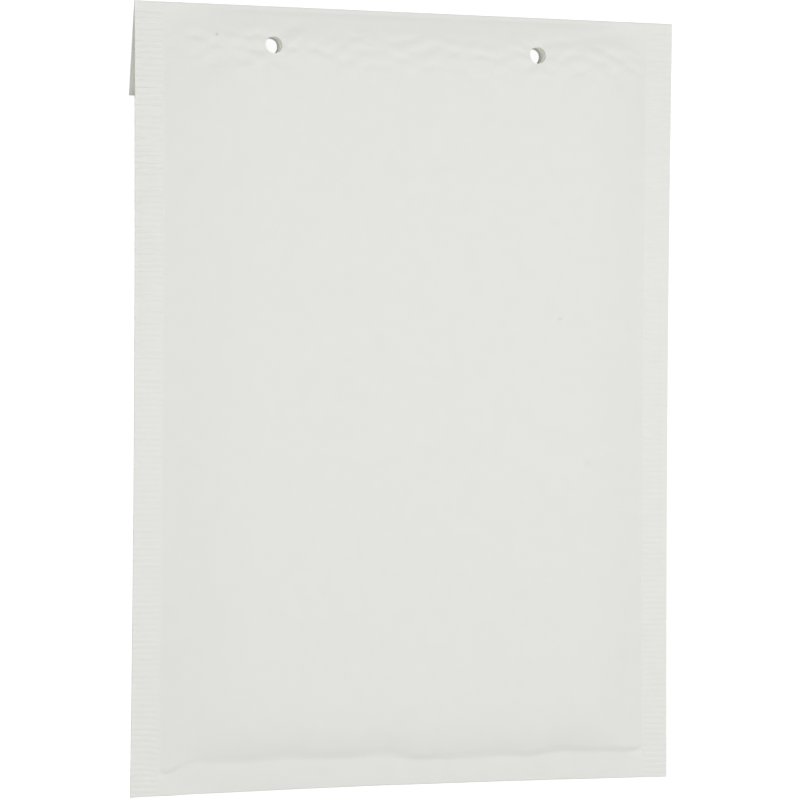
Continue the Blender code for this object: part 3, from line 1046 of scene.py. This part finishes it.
    def refine(self, run: Array, at: Array) -> tuple[Array, Array, Array]:
        """Splits the rows of front and back finely enough for the ribs.

        Args:
            run: Run of each row.
            at: Parameter of each row.

        Returns:
            Run and parameter of the fine rows, and where each given row is among them.
        """
        ribbed = (run[1:] == run[:-1]) & ((run[1:] == Run.FRONT) | (run[1:] == Run.BACK))
        step = self.rib_pitch / self.rib_points
        counts = np.where(ribbed, np.ceil(np.abs(np.diff(at)) / step - TINY), 1).astype(int)
        match = np.concatenate([[0], np.cumsum(counts)])
        places = np.arange(match[-1] + 1)
        cell = np.clip(np.searchsorted(match, places, side="right") - 1, 0, len(counts) - 1)
        share = (places - match[cell]) / counts[cell]
        nearest = np.where(share > 0.5, cell + 1, cell)
        between = at[cell] + (at[cell + 1] - at[cell]) * share
        return run[nearest], np.where(counts[cell] > 1, between, at[nearest]), match

    def build(self, material: Material) -> Piece:
        """Makes the sheet as one closed body with both holes punched through its three layers.

        Args:
            material: The paper's finish.

        Returns:
            The sheet.
        """
        parts = MeshParts()
        run, at = self.rows()
        columns = self.columns()
        u, runs = np.tile(columns, (len(run), 1)), np.tile(run[:, None], (1, len(columns)))
        ats = np.tile(at[:, None], (1, len(columns)))
        keep = np.ones((len(run) - 1, len(columns) - 1), bool)
        blocks = []
        for centre in HOLES.us:
            span = self.span(columns, centre, HOLES.radius)
            layers = ((Run.FLAP, HOLES.reach), (Run.FRONT, HOLES.y), (Run.BACK, HOLES.y))
            for kind, middle in layers:
                on = np.flatnonzero(run == kind)
                rows = tuple(on[0] + k for k in self.span(at[on], middle, HOLES.radius))
                true = find_on_sheet(
                    lambda a, b, kind=kind: self.points(a, np.array(int(kind)), b, False),
                    (centre, middle),
                    HOLES.axis(centre),
                )
                lean = math.cos(FLAP.angle) if kind == Run.FLAP else 1.0
                radii = (HOLES.radius, HOLES.radius / lean)
                u[on], ats[on] = HOLES.draw_round(u[on], ats[on], (centre, middle), true, radii)
                keep[rows[0] : rows[1], span[0] : span[1]] = False
                blocks.append((rows, span))
        faces = (self.points(u, runs, ats, inner) for inner in (False, True))
        outer, inner = parts.sheet(*faces, keep, blocks)
        for end in (0, -1):
            parts.strip(outer[end], inner[end])
        for side, edge in ((-1, 0), (1, -1)):
            self.add_seam(parts, side, run, at, outer[:, edge], inner[:, edge])
        return parts.finish("paper_envelope", material)

    @staticmethod
    def span(values: Array, middle: float, radius: float) -> tuple[int, int]:
        """First and last place in a list of the values that bound a hole's block."""
        near = np.flatnonzero(np.abs(values - middle) < radius + HOLES.slack)
        return int(near[0]), int(near[-1])

    def add_seam(
        self, parts: MeshParts, side: int, run: Array, at: Array, outer: Array, inner: Array
    ) -> None:
        """Adds one crimped seam: fine ribbed rows outside, zipped to the pocket's edge column.

        Args:
            parts: The mesh in the making.
            side: -1 for the left seam and 1 for the right.
            run: Run of each row.
            at: Parameter of each row.
            outer: The outer face's column on the pocket's edge.
            inner: The inner face's column there.
        """
        fine_run, fine_at, match = self.refine(run, at)
        half = FACES.pocket_half
        near = (half + self.rib_fade / 2, half + self.rib_fade)
        places = side * np.array([*near, half + self.seam_middle, FACES.half_width])
        shape = (len(fine_run), len(places))
        grid = parts.add(
            self.points(
                np.broadcast_to(places, shape).copy(),
                np.broadcast_to(fine_run[:, None], shape),
                np.broadcast_to(fine_at[:, None], shape).copy(),
                False,
            )
        )
        parts.quads(grid)
        parts.zip_rows(grid[:, 0], outer, match)
        rim = parts.add(self.points(np.full(len(run), side * FACES.half_width), run, at, True))
        parts.strip(rim, inner)
        parts.zip_rows(grid[:, -1], rim, match)
        for end in (0, -1):
            corners = [outer[end], *grid[end], rim[end], inner[end]]
            parts.faces.append(np.array([corners]))


@dataclass
class BubbleLining:
    """The folded bubble film: blisters towards the paper and a smooth face to the pocket.

    The film and its bubbles keep under the sheet that is given as paper.
    """

    paper: PaperSheet
    film: float = 0.12 * MM
    gap: float = 0.6 * MM
    weld: float = 2.5 * MM
    side_inset: float = 6.0 * MM
    bottom_inset: float = 5.0 * MM
    mouth_drop: float = 9.0 * MM
    pitch: float = 11.5 * MM
    bubble: float = 10.0 * MM
    tallest: float = 4.0 * MM
    off_paper: float = 0.12 * MM
    dense_below: float = 24.0 * MM
    least_rise: float = 0.05 * MM
    overlap: float = 0.02 * MM
    half_slit: float = 0.01 * MM
    segments: int = 12
    rings: tuple[float, ...] = (1.0, 0.9, 0.6)
    collar_segments: int = 48
    collar_layers: int = 4
    collar_rings: int = 6
    collar_least: float = 0.25
    collar_uneven: float = 0.2
    collar_lobes: float = 3.0
    collar_twist: float = 9.0
    collar_swell: float = 0.25 * MM

    @property
    def half(self) -> float:
        """Half the lining's width."""
        return FACES.pocket_half - self.side_inset

    @property
    def high(self) -> float:
        """y of the lining's top edge."""
        return FACES.height - self.mouth_drop

    def middle(self, u: Array, y: Array) -> Array:
        """The height halfway between the two faces as they are when nothing presses them."""
        return (FACES.front(u, y) - FACES.free_back(u, y)) / 2

    def level(self, u: Array, y: Array, inner: bool) -> Array:
        """Distance of the film from the middle, which shrinks to nothing at its welded edges."""
        edge = np.minimum(self.half - np.abs(u), y - self.bottom_inset)
        return self.gap / 2 * smooth(edge / self.weld) + (self.half_slit if inner else self.film)

    def wall(self, u: Array, y: Array, side: Array, inner: bool) -> Array:
        """Points of the film on one side of the pocket.

        Args:
            u: Places across.
            y: Places along.
            side: 1 towards the front and -1 towards the back.
            inner: Whether the face to the pocket is wanted.

        Returns:
            Points of the row frame.
        """
        x, y_plane = FACES.in_plane(u, y)
        middle = self.middle(u, y)
        under = np.where(side > 0, self.room(u, y, 1) - middle, middle - self.room(u, y, -1))
        least = self.film + self.overlap
        outer = np.maximum(np.minimum(self.level(u, y, False), under), least)
        level = np.minimum(self.level(u, y, True), outer - self.film) if inner else outer
        return POSE.place(np.stack([x, y_plane, middle + side * level], axis=-1))

    def columns(self) -> Array:
        """The film's columns, close together round the holes and at the welds.

        Returns:
            u of each column.
        """
        left, right = (HOLES.stops(u, HOLES.radius) for u in HOLES.us)
        weld = self.half - self.weld
        cell = 2 * HOLES.radius / HOLES.cells
        stops = [-self.half, -weld, *left, *right, weld, self.half]
        steps = [MM, 5 * MM, 2 * MM, cell, 2 * MM, 5 * MM, 2 * MM, cell, 2 * MM, 5 * MM, MM]
        return join_spreads(stops, steps)

    def rows(self) -> tuple[Array, Array]:
        """The film's rows, down the front wall and up the back wall.

        Returns:
            The side and the y of each row.
        """
        below, *stops = HOLES.stops(HOLES.y, HOLES.radius)
        cell = 2 * HOLES.radius / HOLES.cells
        upper = min(stops[-1], self.high)
        near = [self.bottom_inset, self.bottom_inset + self.weld, self.dense_below, below]
        steps = [MM, 2 * MM, 6 * MM, 2 * MM, cell, 2 * MM]
        y = join_spreads([*near, *stops[:-1], upper], steps)
        sides = np.concatenate([np.ones(len(y)), -np.ones(len(y))])
        return sides, np.concatenate([y[::-1], y])

    def build(self, material: Material) -> Piece:
        """Makes the folded film with both holes, and its bubbles, as one object.

        Args:
            material: The film's finish.

        Returns:
            The lining.
        """
        parts = MeshParts()
        sides, at = self.rows()
        columns = self.columns()
        u, y = np.tile(columns, (len(at), 1)), np.tile(at[:, None], (1, len(columns)))
        side = np.tile(sides[:, None], (1, len(columns)))
        keep = np.ones((len(at) - 1, len(columns) - 1), bool)
        blocks = []
        for centre in HOLES.us:
            span = PaperSheet.span(columns, centre, HOLES.radius)
            for way in (1.0, -1.0):
                on = np.flatnonzero(sides == way)
                rows = tuple(on[0] + k for k in PaperSheet.span(at[on], HOLES.y, HOLES.radius))
                true = find_on_sheet(
                    lambda a, b, way=way: self.wall(a, b, np.array(way), False),
                    (centre, HOLES.y),
                    HOLES.axis(centre),
                )
                radii = (HOLES.radius, HOLES.radius)
                u[on], y[on] = HOLES.draw_round(u[on], y[on], (centre, HOLES.y), true, radii)
                keep[rows[0] : rows[1], span[0] : span[1]] = False
                blocks.append((rows, span))
        faces = (self.wall(u, y, side, inner) for inner in (False, True))
        outer, inner = parts.sheet(*faces, keep, blocks)
        for end in (0, -1):
            parts.strip(outer[end], inner[end])
            parts.strip(outer[:, end], inner[:, end])
        for way in (1, -1):
            self.add_bubbles(parts, way)
        for centre in HOLES.us:
            self.add_collar(parts, centre)
        return parts.finish("bubble_lining", material)

    def add_collar(self, parts: MeshParts, centre: float) -> None:
        """Adds the film that the punch has drawn together round a hole, between both papers.

        The wall is a tube about the hole's upright axis. Its radius grows and shrinks as a
        cosine, once for each of its layers from front to back, and a little unevenly round it.

        Args:
            parts: The mesh in the making.
            centre: u of the hole.
        """
        turn = np.linspace(0.0, 2.0 * math.pi, self.collar_segments + 1)[:-1][None, :]
        share = np.linspace(0.0, 1.0, self.collar_layers * self.collar_rings + 1)[:, None]
        u = centre + HOLES.radius * np.cos(turn)
        y = HOLES.y + HOLES.radius * np.sin(turn)
        top, bottom = self.room(u, y, 1), self.room(u, y, -1)
        z = top + (bottom - top) * share
        fold = 0.5 - 0.5 * np.cos(2.0 * math.pi * self.collar_layers * share)
        lobes = np.sin(self.collar_lobes * turn + self.collar_twist * share)
        uneven = 1.0 - self.collar_uneven + self.collar_uneven * lobes
        swell = self.collar_swell * (self.collar_least + fold * uneven)
        x_axis, y_axis = HOLES.axis(centre)
        walls = []
        for thick in (0.0, self.film):
            radius = HOLES.radius + swell + thick
            x = x_axis + radius * np.cos(turn)
            level = POSE.place(np.stack([x, FACES.in_plane(u, y)[1] + 0 * z, z], axis=-1))
            level[..., 1] = y_axis + radius * np.sin(turn)
            ring = parts.add(level)
            walls.append(np.concatenate([ring, ring[:, :1]], axis=1))
            parts.quads(walls[-1])
        for end in (0, -1):
            parts.strip(walls[0][end], walls[1][end])

    def sites(self) -> Array:
        """The bubbles of one wall: a triangular lattice, less those that are punched.

        Returns:
            (u, y) of each bubble.
        """
        margin = self.bubble / 2 + self.weld
        row_step = self.pitch * math.sqrt(3.0) / 2
        rows = np.arange(self.bottom_inset + margin, self.high - self.bubble / 2, row_step)
        count = int((2 * (self.half - margin)) // self.pitch)
        line = (np.arange(count) - (count - 1) / 2) * self.pitch
        shift = np.where(np.arange(len(rows)) % 2, self.pitch / 4, -self.pitch / 4)
        u = line[None, :] + shift[:, None]
        places = np.stack([u, np.broadcast_to(rows[:, None], u.shape)], axis=-1).reshape(-1, 2)
        for centre in HOLES.us:
            away = np.hypot(places[:, 0] - centre, places[:, 1] - HOLES.y)
            places = places[away > self.bubble / 2 + HOLES.radius]
        return places

    def add_bubbles(self, parts: MeshParts, way: int) -> None:
        """Adds the bubbles of one wall.

        A bubble's height is a share of the room to the paper: with r the distance from its
        middle in radii, the share is the square root of one less r to the fourth, so that it
        has steep sides and a flat top.

        Args:
            parts: The mesh in the making.
            way: 1 for the front wall and -1 for the back wall.
        """
        sites = self.sites()
        turn = np.arange(self.segments) * 2 * math.pi / self.segments
        ring = np.array([*self.rings, 0.0])[:, None]
        du, dy = (ring * self.bubble / 2 * f(turn)[None, :] for f in (np.cos, np.sin))
        u, y = sites[:, 0, None, None] + du, sites[:, 1, None, None] + dy
        x, y_plane = FACES.in_plane(u, y)
        base = self.middle(u, y) + way * (self.level(u, y, False) - self.overlap)
        room = self.room(u, y, way)
        share = np.sqrt(np.maximum(1.0 - ring**4, 0.0))
        rise = np.clip(way * (room - base), self.least_rise, self.tallest)
        z = base + way * rise * share
        points = POSE.place(np.stack([x, y_plane, z + 0 * ring], axis=-1))
        rings = parts.add(points[:, :-1])
        tops = parts.add(points[:, -1, 0])
        closed = np.concatenate([rings, rings[:, :, :1]], axis=2)
        cells = (closed[:, :-1, :-1], closed[:, :-1, 1:], closed[:, 1:, 1:], closed[:, 1:, :-1])
        parts.faces.append(np.stack(cells, axis=-1).reshape(-1, 4))
        crown = np.broadcast_to(tops[:, None], rings[:, 0].shape)
        cap = (closed[:, -1, :-1], closed[:, -1, 1:], crown)
        parts.faces.append(np.stack(cap, axis=-1).reshape(-1, 3))
        parts.faces.append(rings[:, 0])

    def room(self, u: Array, y: Array, way: int) -> Array:
        """Height of the paper's inner face, less the small space that the film keeps off it.

        Args:
            u: Places across.
            y: Places along.
            way: 1 for the front wall and -1 for the back wall.

        Returns:
            The height over the seam plane.
        """
        keep_off = FACES.paper + self.off_paper
        if way > 0:
            return self.paper.front_z(u, y) - keep_off
        return keep_off - FACES.back(u, y)


@dataclass
class FlapStrip:
    """A thin straight strip that lies on the flap's inner face."""

    name: str
    drop: float
    width: float
    inset: float
    base: float
    thickness: float
    edge_sway: float
    lift_sway: float
    edge_waves: tuple[float, float] = (9.0 * MM, 31.0 * MM)
    lift_wave: float = 12.0 * MM
    step: float = 2.0 * MM
    rows: int = 9

    def points(self, u: Array, share: Array, up: Array) -> Array:
        """Points of the strip: its long edges stray a little, and its face rises in long waves.

        Args:
            u: Places across the flap.
            share: 0 at the edge near the fold and 1 at the other.
            up: 0 at the underside and 1 at the face.

        Returns:
            Points of the row frame.
        """
        short, long = self.edge_waves
        stray = self.edge_sway * np.sin(u / short + 2.0 * share) * np.sin(u / long)
        reach = self.drop + self.width * share + stray
        wave = self.lift_sway * (0.5 + 0.5 * np.sin(u / self.lift_wave + 3.0 * share))
        raised = self.base + up * (self.thickness + wave)
        return POSE.place(FLAP.point(u, reach, FACES.fold_radius - FACES.paper - raised))

    def build(self, material: Material) -> Piece:
        """Makes the strip as one closed body.

        Args:
            material: The strip's finish.

        Returns:
            The strip.
        """
        parts = MeshParts()
        half = FACES.half_width - self.inset
        lines = spread(-half, half, self.step), np.linspace(0, 1, self.rows)
        u, share = np.meshgrid(*lines, indexing="ij")
        face = parts.add(self.points(u, share, np.ones_like(u)))
        under = parts.add(self.points(u, share, np.zeros_like(u)))
        parts.quads(face)
        parts.quads(under)
        for end in (0, -1):
            parts.strip(face[end], under[end])
            parts.strip(face[:, end], under[:, end])
        return parts.finish(self.name, material)


def to_linear(code: str) -> tuple[float, float, float, float]:
    """Turns an sRGB colour to linear light.

    Args:
        code: The colour as a hex code.

    Returns:
        Red, green and blue as linear light, and full alpha.
    """
    parts = [int(code[k : k + 2], 16) / 255 for k in (1, 3, 5)]
    light = [p / 12.92 if p <= 0.04045 else ((p + 0.055) / 1.055) ** 2.4 for p in parts]
    return light[0], light[1], light[2], 1.0


def add_node(
    tree: Tree, kind: str, inputs: dict | None = None, **settings: object
) -> bpy.types.Node:
    """Adds one shader node.

    Args:
        tree: The material's node tree.
        kind: The node's class name.
        inputs: A value or an output socket for each input, by name or place.
        settings: Attributes to set on the node.

    Returns:
        The node.
    """
    node = tree.nodes.new(kind)
    for key, value in settings.items():
        setattr(node, key, value)
    for key, value in (inputs or {}).items():
        if isinstance(value, Socket):
            tree.links.new(value, node.inputs[key])
        else:
            node.inputs[key].default_value = value
    return node


def blank(name: str) -> tuple[Material, Tree, bpy.types.Node]:
    """A new material with nothing but its output.

    Args:
        name: The material's name.

    Returns:
        The material, its node tree and its output node.
    """
    material = bpy.data.materials.new(name)
    material.use_nodes = True
    tree = material.node_tree
    tree.nodes.clear()
    return material, tree, add_node(tree, "ShaderNodeOutputMaterial")


@dataclass(frozen=True)
class Finish:
    """What the four finishes share: two near colours in blotches, a fine relief and a gloss.

    The blotches are a noise on Object coordinates, about as many metres wide as is given, and
    raise the surface too. A finish that has a grain, marks or a relief of its own, or that lets
    light through, says so in a method. The relief is the bump's strength and its depth.
    """

    name: str
    colour: str
    second_colour: str
    blotch: float
    detail: float
    roughness: float
    ior: float
    relief: tuple[float, float]

    def laid_out(self, tree: Tree, where: Socket) -> Socket:
        """Where the blotches are read: at the plain places, unless the finish has a grain."""
        return where

    def marked(self, tree: Tree, where: Socket, colour: Socket) -> Socket:
        """The colour with the finish's marks on it, if it has any."""
        return colour

    def raised(self, tree: Tree, where: Socket, blotches: Socket) -> Socket:
        """The height of the relief: that of the blotches, unless the finish has another."""
        return blotches

    def surface(self, tree: Tree, shader: Socket, colour: Socket) -> Socket:
        """The whole surface: the plain shader, unless the finish lets light through."""
        return shader

    def material(self) -> Material:
        """Makes the material.

        Returns:
            The material, with its nodes.
        """
        material, tree, output = blank(self.name)
        where = add_node(tree, "ShaderNodeTexCoord").outputs["Object"]
        blotches = add_node(
            tree,
            "ShaderNodeTexNoise",
            {"Vector": self.laid_out(tree, where), "Scale": 1.0 / self.blotch,
             "Detail": self.detail, "Roughness": NOISE_ROUGHNESS},
        ).outputs["Fac"]
        pair = {0: blotches, MIX_FIRST: to_linear(self.second_colour),
                MIX_SECOND: to_linear(self.colour)}
        plain = add_node(tree, "ShaderNodeMix", pair, data_type="RGBA").outputs[2]
        colour = self.marked(tree, where, plain)
        strength, depth = self.relief
        bump = add_node(
            tree,
            "ShaderNodeBump",
            {"Height": self.raised(tree, where, blotches), "Strength": strength, "Distance": depth},
        )
        shader = add_node(
            tree,
            "ShaderNodeBsdfPrincipled",
            {"Base Color": colour, "Roughness": self.roughness, "IOR": self.ior,
             "Normal": bump.outputs["Normal"]},
        )
        whole = self.surface(tree, shader.outputs["BSDF"], colour)
        tree.links.new(whole, output.inputs["Surface"])
        return material


@dataclass(frozen=True)
class Speck:
    """A small mark on the front, as handling leaves: its place, size and strength.

    It is darkest within its core and fades out at its rim, both in radii.
    """

    u: float
    y: float
    radius: float
    strength: float
    core: float = 0.4
    rim: float = 2.2


@dataclass(frozen=True)
class MachineGlazedPaper(Finish):
    """Bleached wood pulp paper, pressed smooth on one side.

    Pulp scatters light evenly, so it is matt and warm white. The fibres clump into faint
    clouds some millimetres wide, and the face has a fine tooth of crossing fibres.
    """

    name: str = "machine_glazed_paper"
    colour: str = "#F6F6F3"
    second_colour: str = "#F4F4F0"
    blotch: float = 6.0 * MM
    detail: float = 3.0
    roughness: float = 0.8
    ior: float = 1.47
    relief: tuple[float, float] = (0.12, 0.05 * MM)
    # Single fibres are 0.03 mm wide. They are drawn 0.4 mm wide, so that they show
    tooth: float = 0.4 * MM
    tooth_detail: float = 4.0
    # How much of the light goes through the sheet's face instead of back from it
    translucency: float = 0.28
    speck_colour: str = "#8E8C84"
    specks: tuple[Speck, ...] = (
        Speck(55.5 * MM, 167.0 * MM, 0.40 * MM, 0.14),
        Speck(66.5 * MM, 115.0 * MM, 0.9 * MM, 0.04),
        Speck(-71.4 * MM, 264.2 * MM, 0.35 * MM, 0.30),
    )

    def marked(self, tree: Tree, where: Socket, colour: Socket) -> Socket:
        """The colour with the specks on it: each fades with the distance from its middle.

        Args:
            tree: The material's node tree.
            where: Object coordinates.
            colour: The plain colour.

        Returns:
            The marked colour.
        """
        for speck in self.specks:
            z = float(FACES.front(np.array(speck.u), np.array(speck.y)))
            centre = tuple(POSE.place(np.array([speck.u, speck.y - FACES.half_height, z])))
            ends = {0: where, 1: centre}
            away = add_node(tree, "ShaderNodeVectorMath", ends, operation="DISTANCE")
            fade = add_node(
                tree,
                "ShaderNodeMapRange",
                {"Value": away.outputs["Value"], "From Min": speck.radius * speck.rim,
                 "From Max": speck.radius * speck.core, "To Max": speck.strength},
            )
            pair = {0: fade.outputs["Result"], MIX_FIRST: colour,
                    MIX_SECOND: to_linear(self.speck_colour)}
            colour = add_node(tree, "ShaderNodeMix", pair, data_type="RGBA").outputs[2]
        return colour

    def raised(self, tree: Tree, where: Socket, blotches: Socket) -> Socket:
        """The tooth of the fibres, which is much finer than the clouds.

        Args:
            tree: The material's node tree.
            where: Object coordinates.
            blotches: The clouds, which don't raise the paper.

        Returns:
            The height.
        """
        inputs = {"Vector": where, "Scale": 1.0 / self.tooth, "Detail": self.tooth_detail,
                  "Roughness": NOISE_ROUGHNESS}
        return add_node(tree, "ShaderNodeTexNoise", inputs).outputs["Fac"]

    def surface(self, tree: Tree, shader: Socket, colour: Socket) -> Socket:
        """The shader mixed with light that comes through the sheet from behind.

        Args:
            tree: The material's node tree.
            shader: The plain shader.
            colour: The colour that the light takes on in the sheet.

        Returns:
            The mixed surface.
        """
        through = add_node(tree, "ShaderNodeBsdfTranslucent", {"Color": colour}).outputs["BSDF"]
        shares = {0: self.translucency, 1: shader, 2: through}
        return add_node(tree, "ShaderNodeMixShader", shares).outputs[0]


@dataclass(frozen=True)
class BlownFilm(Finish):
    """Low density polyethylene film, blown and vacuum formed into bubbles.

    Its many faces scatter the light, so it looks milky white, with soft bright highlights.
    """

    name: str = "blown_polyethylene_film"
    colour: str = "#FCFCF4"
    second_colour: str = "#F8F8EE"
    blotch: float = 3.0 * MM
    detail: float = 2.0
    roughness: float = 0.22
    ior: float = 1.51
    relief: tuple[float, float] = (0.2, 0.2 * MM)


@dataclass(frozen=True)
class HotMeltAdhesive(Finish):
    """Pressure-sensitive hot melt, laid on from a slot and cooled: glossy, cloudy and yellowish.

    The slot draws its clouds out into streaks along X.
    """

    name: str = "slot_coated_hot_melt"
    colour: str = "#E3DDC6"
    second_colour: str = "#D9D2B8"
    blotch: float = 1.5 * MM
    detail: float = 2.0
    roughness: float = 0.3
    ior: float = 1.48
    relief: tuple[float, float] = (0.3, 0.1 * MM)
    draw: tuple[float, float, float] = (0.1, 1.0, 1.0)

    def laid_out(self, tree: Tree, where: Socket) -> Socket:
        """Places pressed together along X, which draws the blotches out into streaks."""
        inputs = {"Vector": where, "Scale": self.draw}
        return add_node(tree, "ShaderNodeMapping", inputs).outputs["Vector"]


@dataclass(frozen=True)
class SiliconeGlassine(Finish):
    """Glassine release paper with a silicone coat: dense, smooth, faintly yellow, half gloss."""

    name: str = "silicone_coated_glassine"
    colour: str = "#F4F4EA"
    second_colour: str = "#F0F0E4"
    blotch: float = 2.5 * MM
    detail: float = 3.0
    roughness: float = 0.38
    ior: float = 1.43
    relief: tuple[float, float] = (0.15, 0.1 * MM)


@dataclass(frozen=True)
class Lamp:
    """A square soft lamp: where it hangs, what it points at, its side and its power."""

    name: str
    place: tuple[float, float, float]
    side: float
    power: float

    def build(self) -> None:
        """Hangs the lamp, pointing at the middle of the envelope."""
        data = bpy.data.lights.new(self.name, "AREA")
        data.size = self.side
        data.energy = self.power
        lamp = bpy.data.objects.new(self.name, data)
        away = Vector(self.place)
        lamp.location = away
        lamp.rotation_euler = away.to_track_quat("Z", "Y").to_euler()
        bpy.context.scene.collection.objects.link(lamp)


@dataclass
class Studio:
    """The white floor, the soft lamps and the camera."""

    floor_half: float = 6.0
    floor_glow: float = 0.90
    floor_colour: str = "#8A8A8A"
    floor_bounce: str = "#E8E8E8"
    sky: float = 0.29
    sensor: float = 36.0
    pixels_wide: float = 800.0
    focal_pixels: float = 2967.0
    distance: float = 1053.0 * MM
    clip_start: float = 0.05
    off_centre: tuple[float, float] = (3.0 * MM, -0.2 * MM)
    roll: float = math.radians(-0.37)
    nod: float = math.radians(0.70)
    turn: float = math.radians(17.76)
    lamps: tuple[Lamp, ...] = field(
        default_factory=lambda: (
            Lamp("key_softbox", (0.29, 0.02, 0.83), 0.55, 4.42),
            Lamp("left_fill", (-0.41, 0.02, 0.81), 0.55, 2.88),
        )
    )

    def floor_material(self) -> Material:
        """A pale matt floor that the camera, gloss and glass see as white but for its shadows.

        Returns:
            The material.
        """
        material, tree, output = blank("studio_floor")
        path = add_node(tree, "ShaderNodeLightPath").outputs
        matt = add_node(tree, "ShaderNodeBsdfDiffuse", {"Color": to_linear(self.floor_bounce)})
        shade = add_node(tree, "ShaderNodeBsdfDiffuse", {"Color": to_linear(self.floor_colour)})
        glow = add_node(tree, "ShaderNodeEmission", {"Strength": self.floor_glow})
        seen = add_node(tree, "ShaderNodeAddShader", {0: shade.outputs[0], 1: glow.outputs[0]})
        first = add_node(
            tree,
            "ShaderNodeMath",
            {0: path["Is Camera Ray"], 1: path["Is Glossy Ray"]},
            operation="MAXIMUM",
        )
        direct = add_node(
            tree,
            "ShaderNodeMath",
            {0: first.outputs[0], 1: path["Is Transmission Ray"]},
            operation="MAXIMUM",
        )
        mix = add_node(
            tree,
            "ShaderNodeMixShader",
            {0: direct.outputs[0], 1: matt.outputs[0], 2: seen.outputs[0]},
        )
        tree.links.new(mix.outputs[0], output.inputs["Surface"])
        return material

    def build_floor(self) -> Piece:
        """Lays the floor at Z = 0.

        Returns:
            The floor.
        """
        h = self.floor_half
        data = bpy.data.meshes.new("studio_floor")
        data.from_pydata([(-h, -h, 0), (h, -h, 0), (h, h, 0), (-h, h, 0)], [], [(0, 1, 2, 3)])
        data.materials.append(self.floor_material())
        floor = bpy.data.objects.new("studio_floor", data)
        bpy.context.scene.collection.objects.link(floor)
        return floor

    def build_sky(self) -> None:
        """An even white sky that only fills in the light, and shows as white."""
        world = bpy.data.worlds.new("studio_sky")
        world.use_nodes = True
        tree = world.node_tree
        tree.nodes.clear()
        path = add_node(tree, "ShaderNodeLightPath").outputs
        fill = add_node(tree, "ShaderNodeBackground", {"Strength": self.sky})
        white = add_node(tree, "ShaderNodeBackground", {"Strength": 1.0})
        for background in (fill, white):
            background.inputs["Color"].default_value = (1.0, 1.0, 1.0, 1.0)
        mix = add_node(
            tree,
            "ShaderNodeMixShader",
            {0: path["Is Camera Ray"], 1: fill.outputs[0], 2: white.outputs[0]},
        )
        output = add_node(tree, "ShaderNodeOutputWorld")
        tree.links.new(mix.outputs[0], output.inputs["Surface"])
        bpy.context.scene.world = world

    def camera_axes(self) -> Array:
        """Rows are the camera's right, up and backward directions in the envelope's frame.

        They come from the four corners in the photograph: a turn about Y, then a nod about X,
        then a roll about Z.

        Returns:
            The three directions.
        """
        angles = ((self.turn, "Y"), (self.nod, "X"), (self.roll, "Z"))
        turn, nod, roll = (Matrix.Rotation(angle, 3, axis) for angle, axis in angles)
        return np.array(roll @ nod @ turn)

    def build_camera(self) -> None:
        """Sets the camera where the photograph was taken from."""
        axes = self.camera_axes()
        eye = axes.T @ np.array([-self.off_centre[0], -self.off_centre[1], self.distance])
        data = bpy.data.cameras.new("camera")
        data.sensor_width = self.sensor
        data.lens = self.sensor * self.focal_pixels / self.pixels_wide
        data.clip_start = self.clip_start
        camera = bpy.data.objects.new("camera", data)
        turned = POSE.turn(axes)
        pose = Matrix.Identity(4)
        for row in range(3):
            for column in range(3):
                pose[row][column] = float(turned[column, row])
            pose[row][3] = float(POSE.place(eye)[row])
        camera.matrix_world = pose
        bpy.context.scene.collection.objects.link(camera)
        bpy.context.scene.camera = camera

    def build(self) -> None:
        """Builds the whole studio."""
        self.build_floor()
        self.build_sky()
        for lamp in self.lamps:
            lamp.build()
        self.build_camera()
        bpy.context.scene.view_settings.view_transform = "Standard"


@dataclass
class PaddedEnvelope:
    """The whole envelope: its paper, its lining and the two strips on its flap."""

    paper: PaperSheet = field(default_factory=PaperSheet)
    adhesive: FlapStrip = field(
        default_factory=lambda: FlapStrip(
            "adhesive_strip", 18.5 * MM, 10.0 * MM, 3.0 * MM, 0.02 * MM, 0.40 * MM, 0.15 * MM, 0.0
        )
    )
    liner: FlapStrip = field(
        default_factory=lambda: FlapStrip(
            "release_liner", 17.0 * MM, 13.0 * MM, 0.5 * MM, 0.45 * MM, 0.25 * MM, 0.0, 0.15 * MM
        )
    )

    def take_over(self, piece: Piece, node: str, slot: str) -> None:
        """Puts a piece in the place of a CAD node, on the one body, and logs its faces and slot
        name.

        Args:
            piece: The piece.
            node: The CAD node's name.
            slot: The slot's name.
        """
        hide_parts(node)
        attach(piece, BODY)
        LOG.info("%s: %d faces, finish %s", piece.name, len(piece.data.polygons), slot)

    def build(self) -> None:
        self.take_over(
            self.paper.build(MachineGlazedPaper().material()), "paper_envelope", "white_paper"
        )
        lining = BubbleLining(self.paper).build(BlownFilm().material())
        self.take_over(lining, "bubble_lining", "polyethylene_film")
        self.take_over(
            self.adhesive.build(HotMeltAdhesive().material()), "adhesive_strip", "hot_melt_adhesive"
        )
        self.take_over(
            self.liner.build(SiliconeGlassine().material()), "release_liner", "silicone_paper"
        )


def main() -> None:
    """Builds the envelope and the studio."""
    logging.basicConfig(level=logging.INFO, format="%(message)s")
    PaddedEnvelope().build()
    Studio().build()


if __name__ == "__main__":
    main()
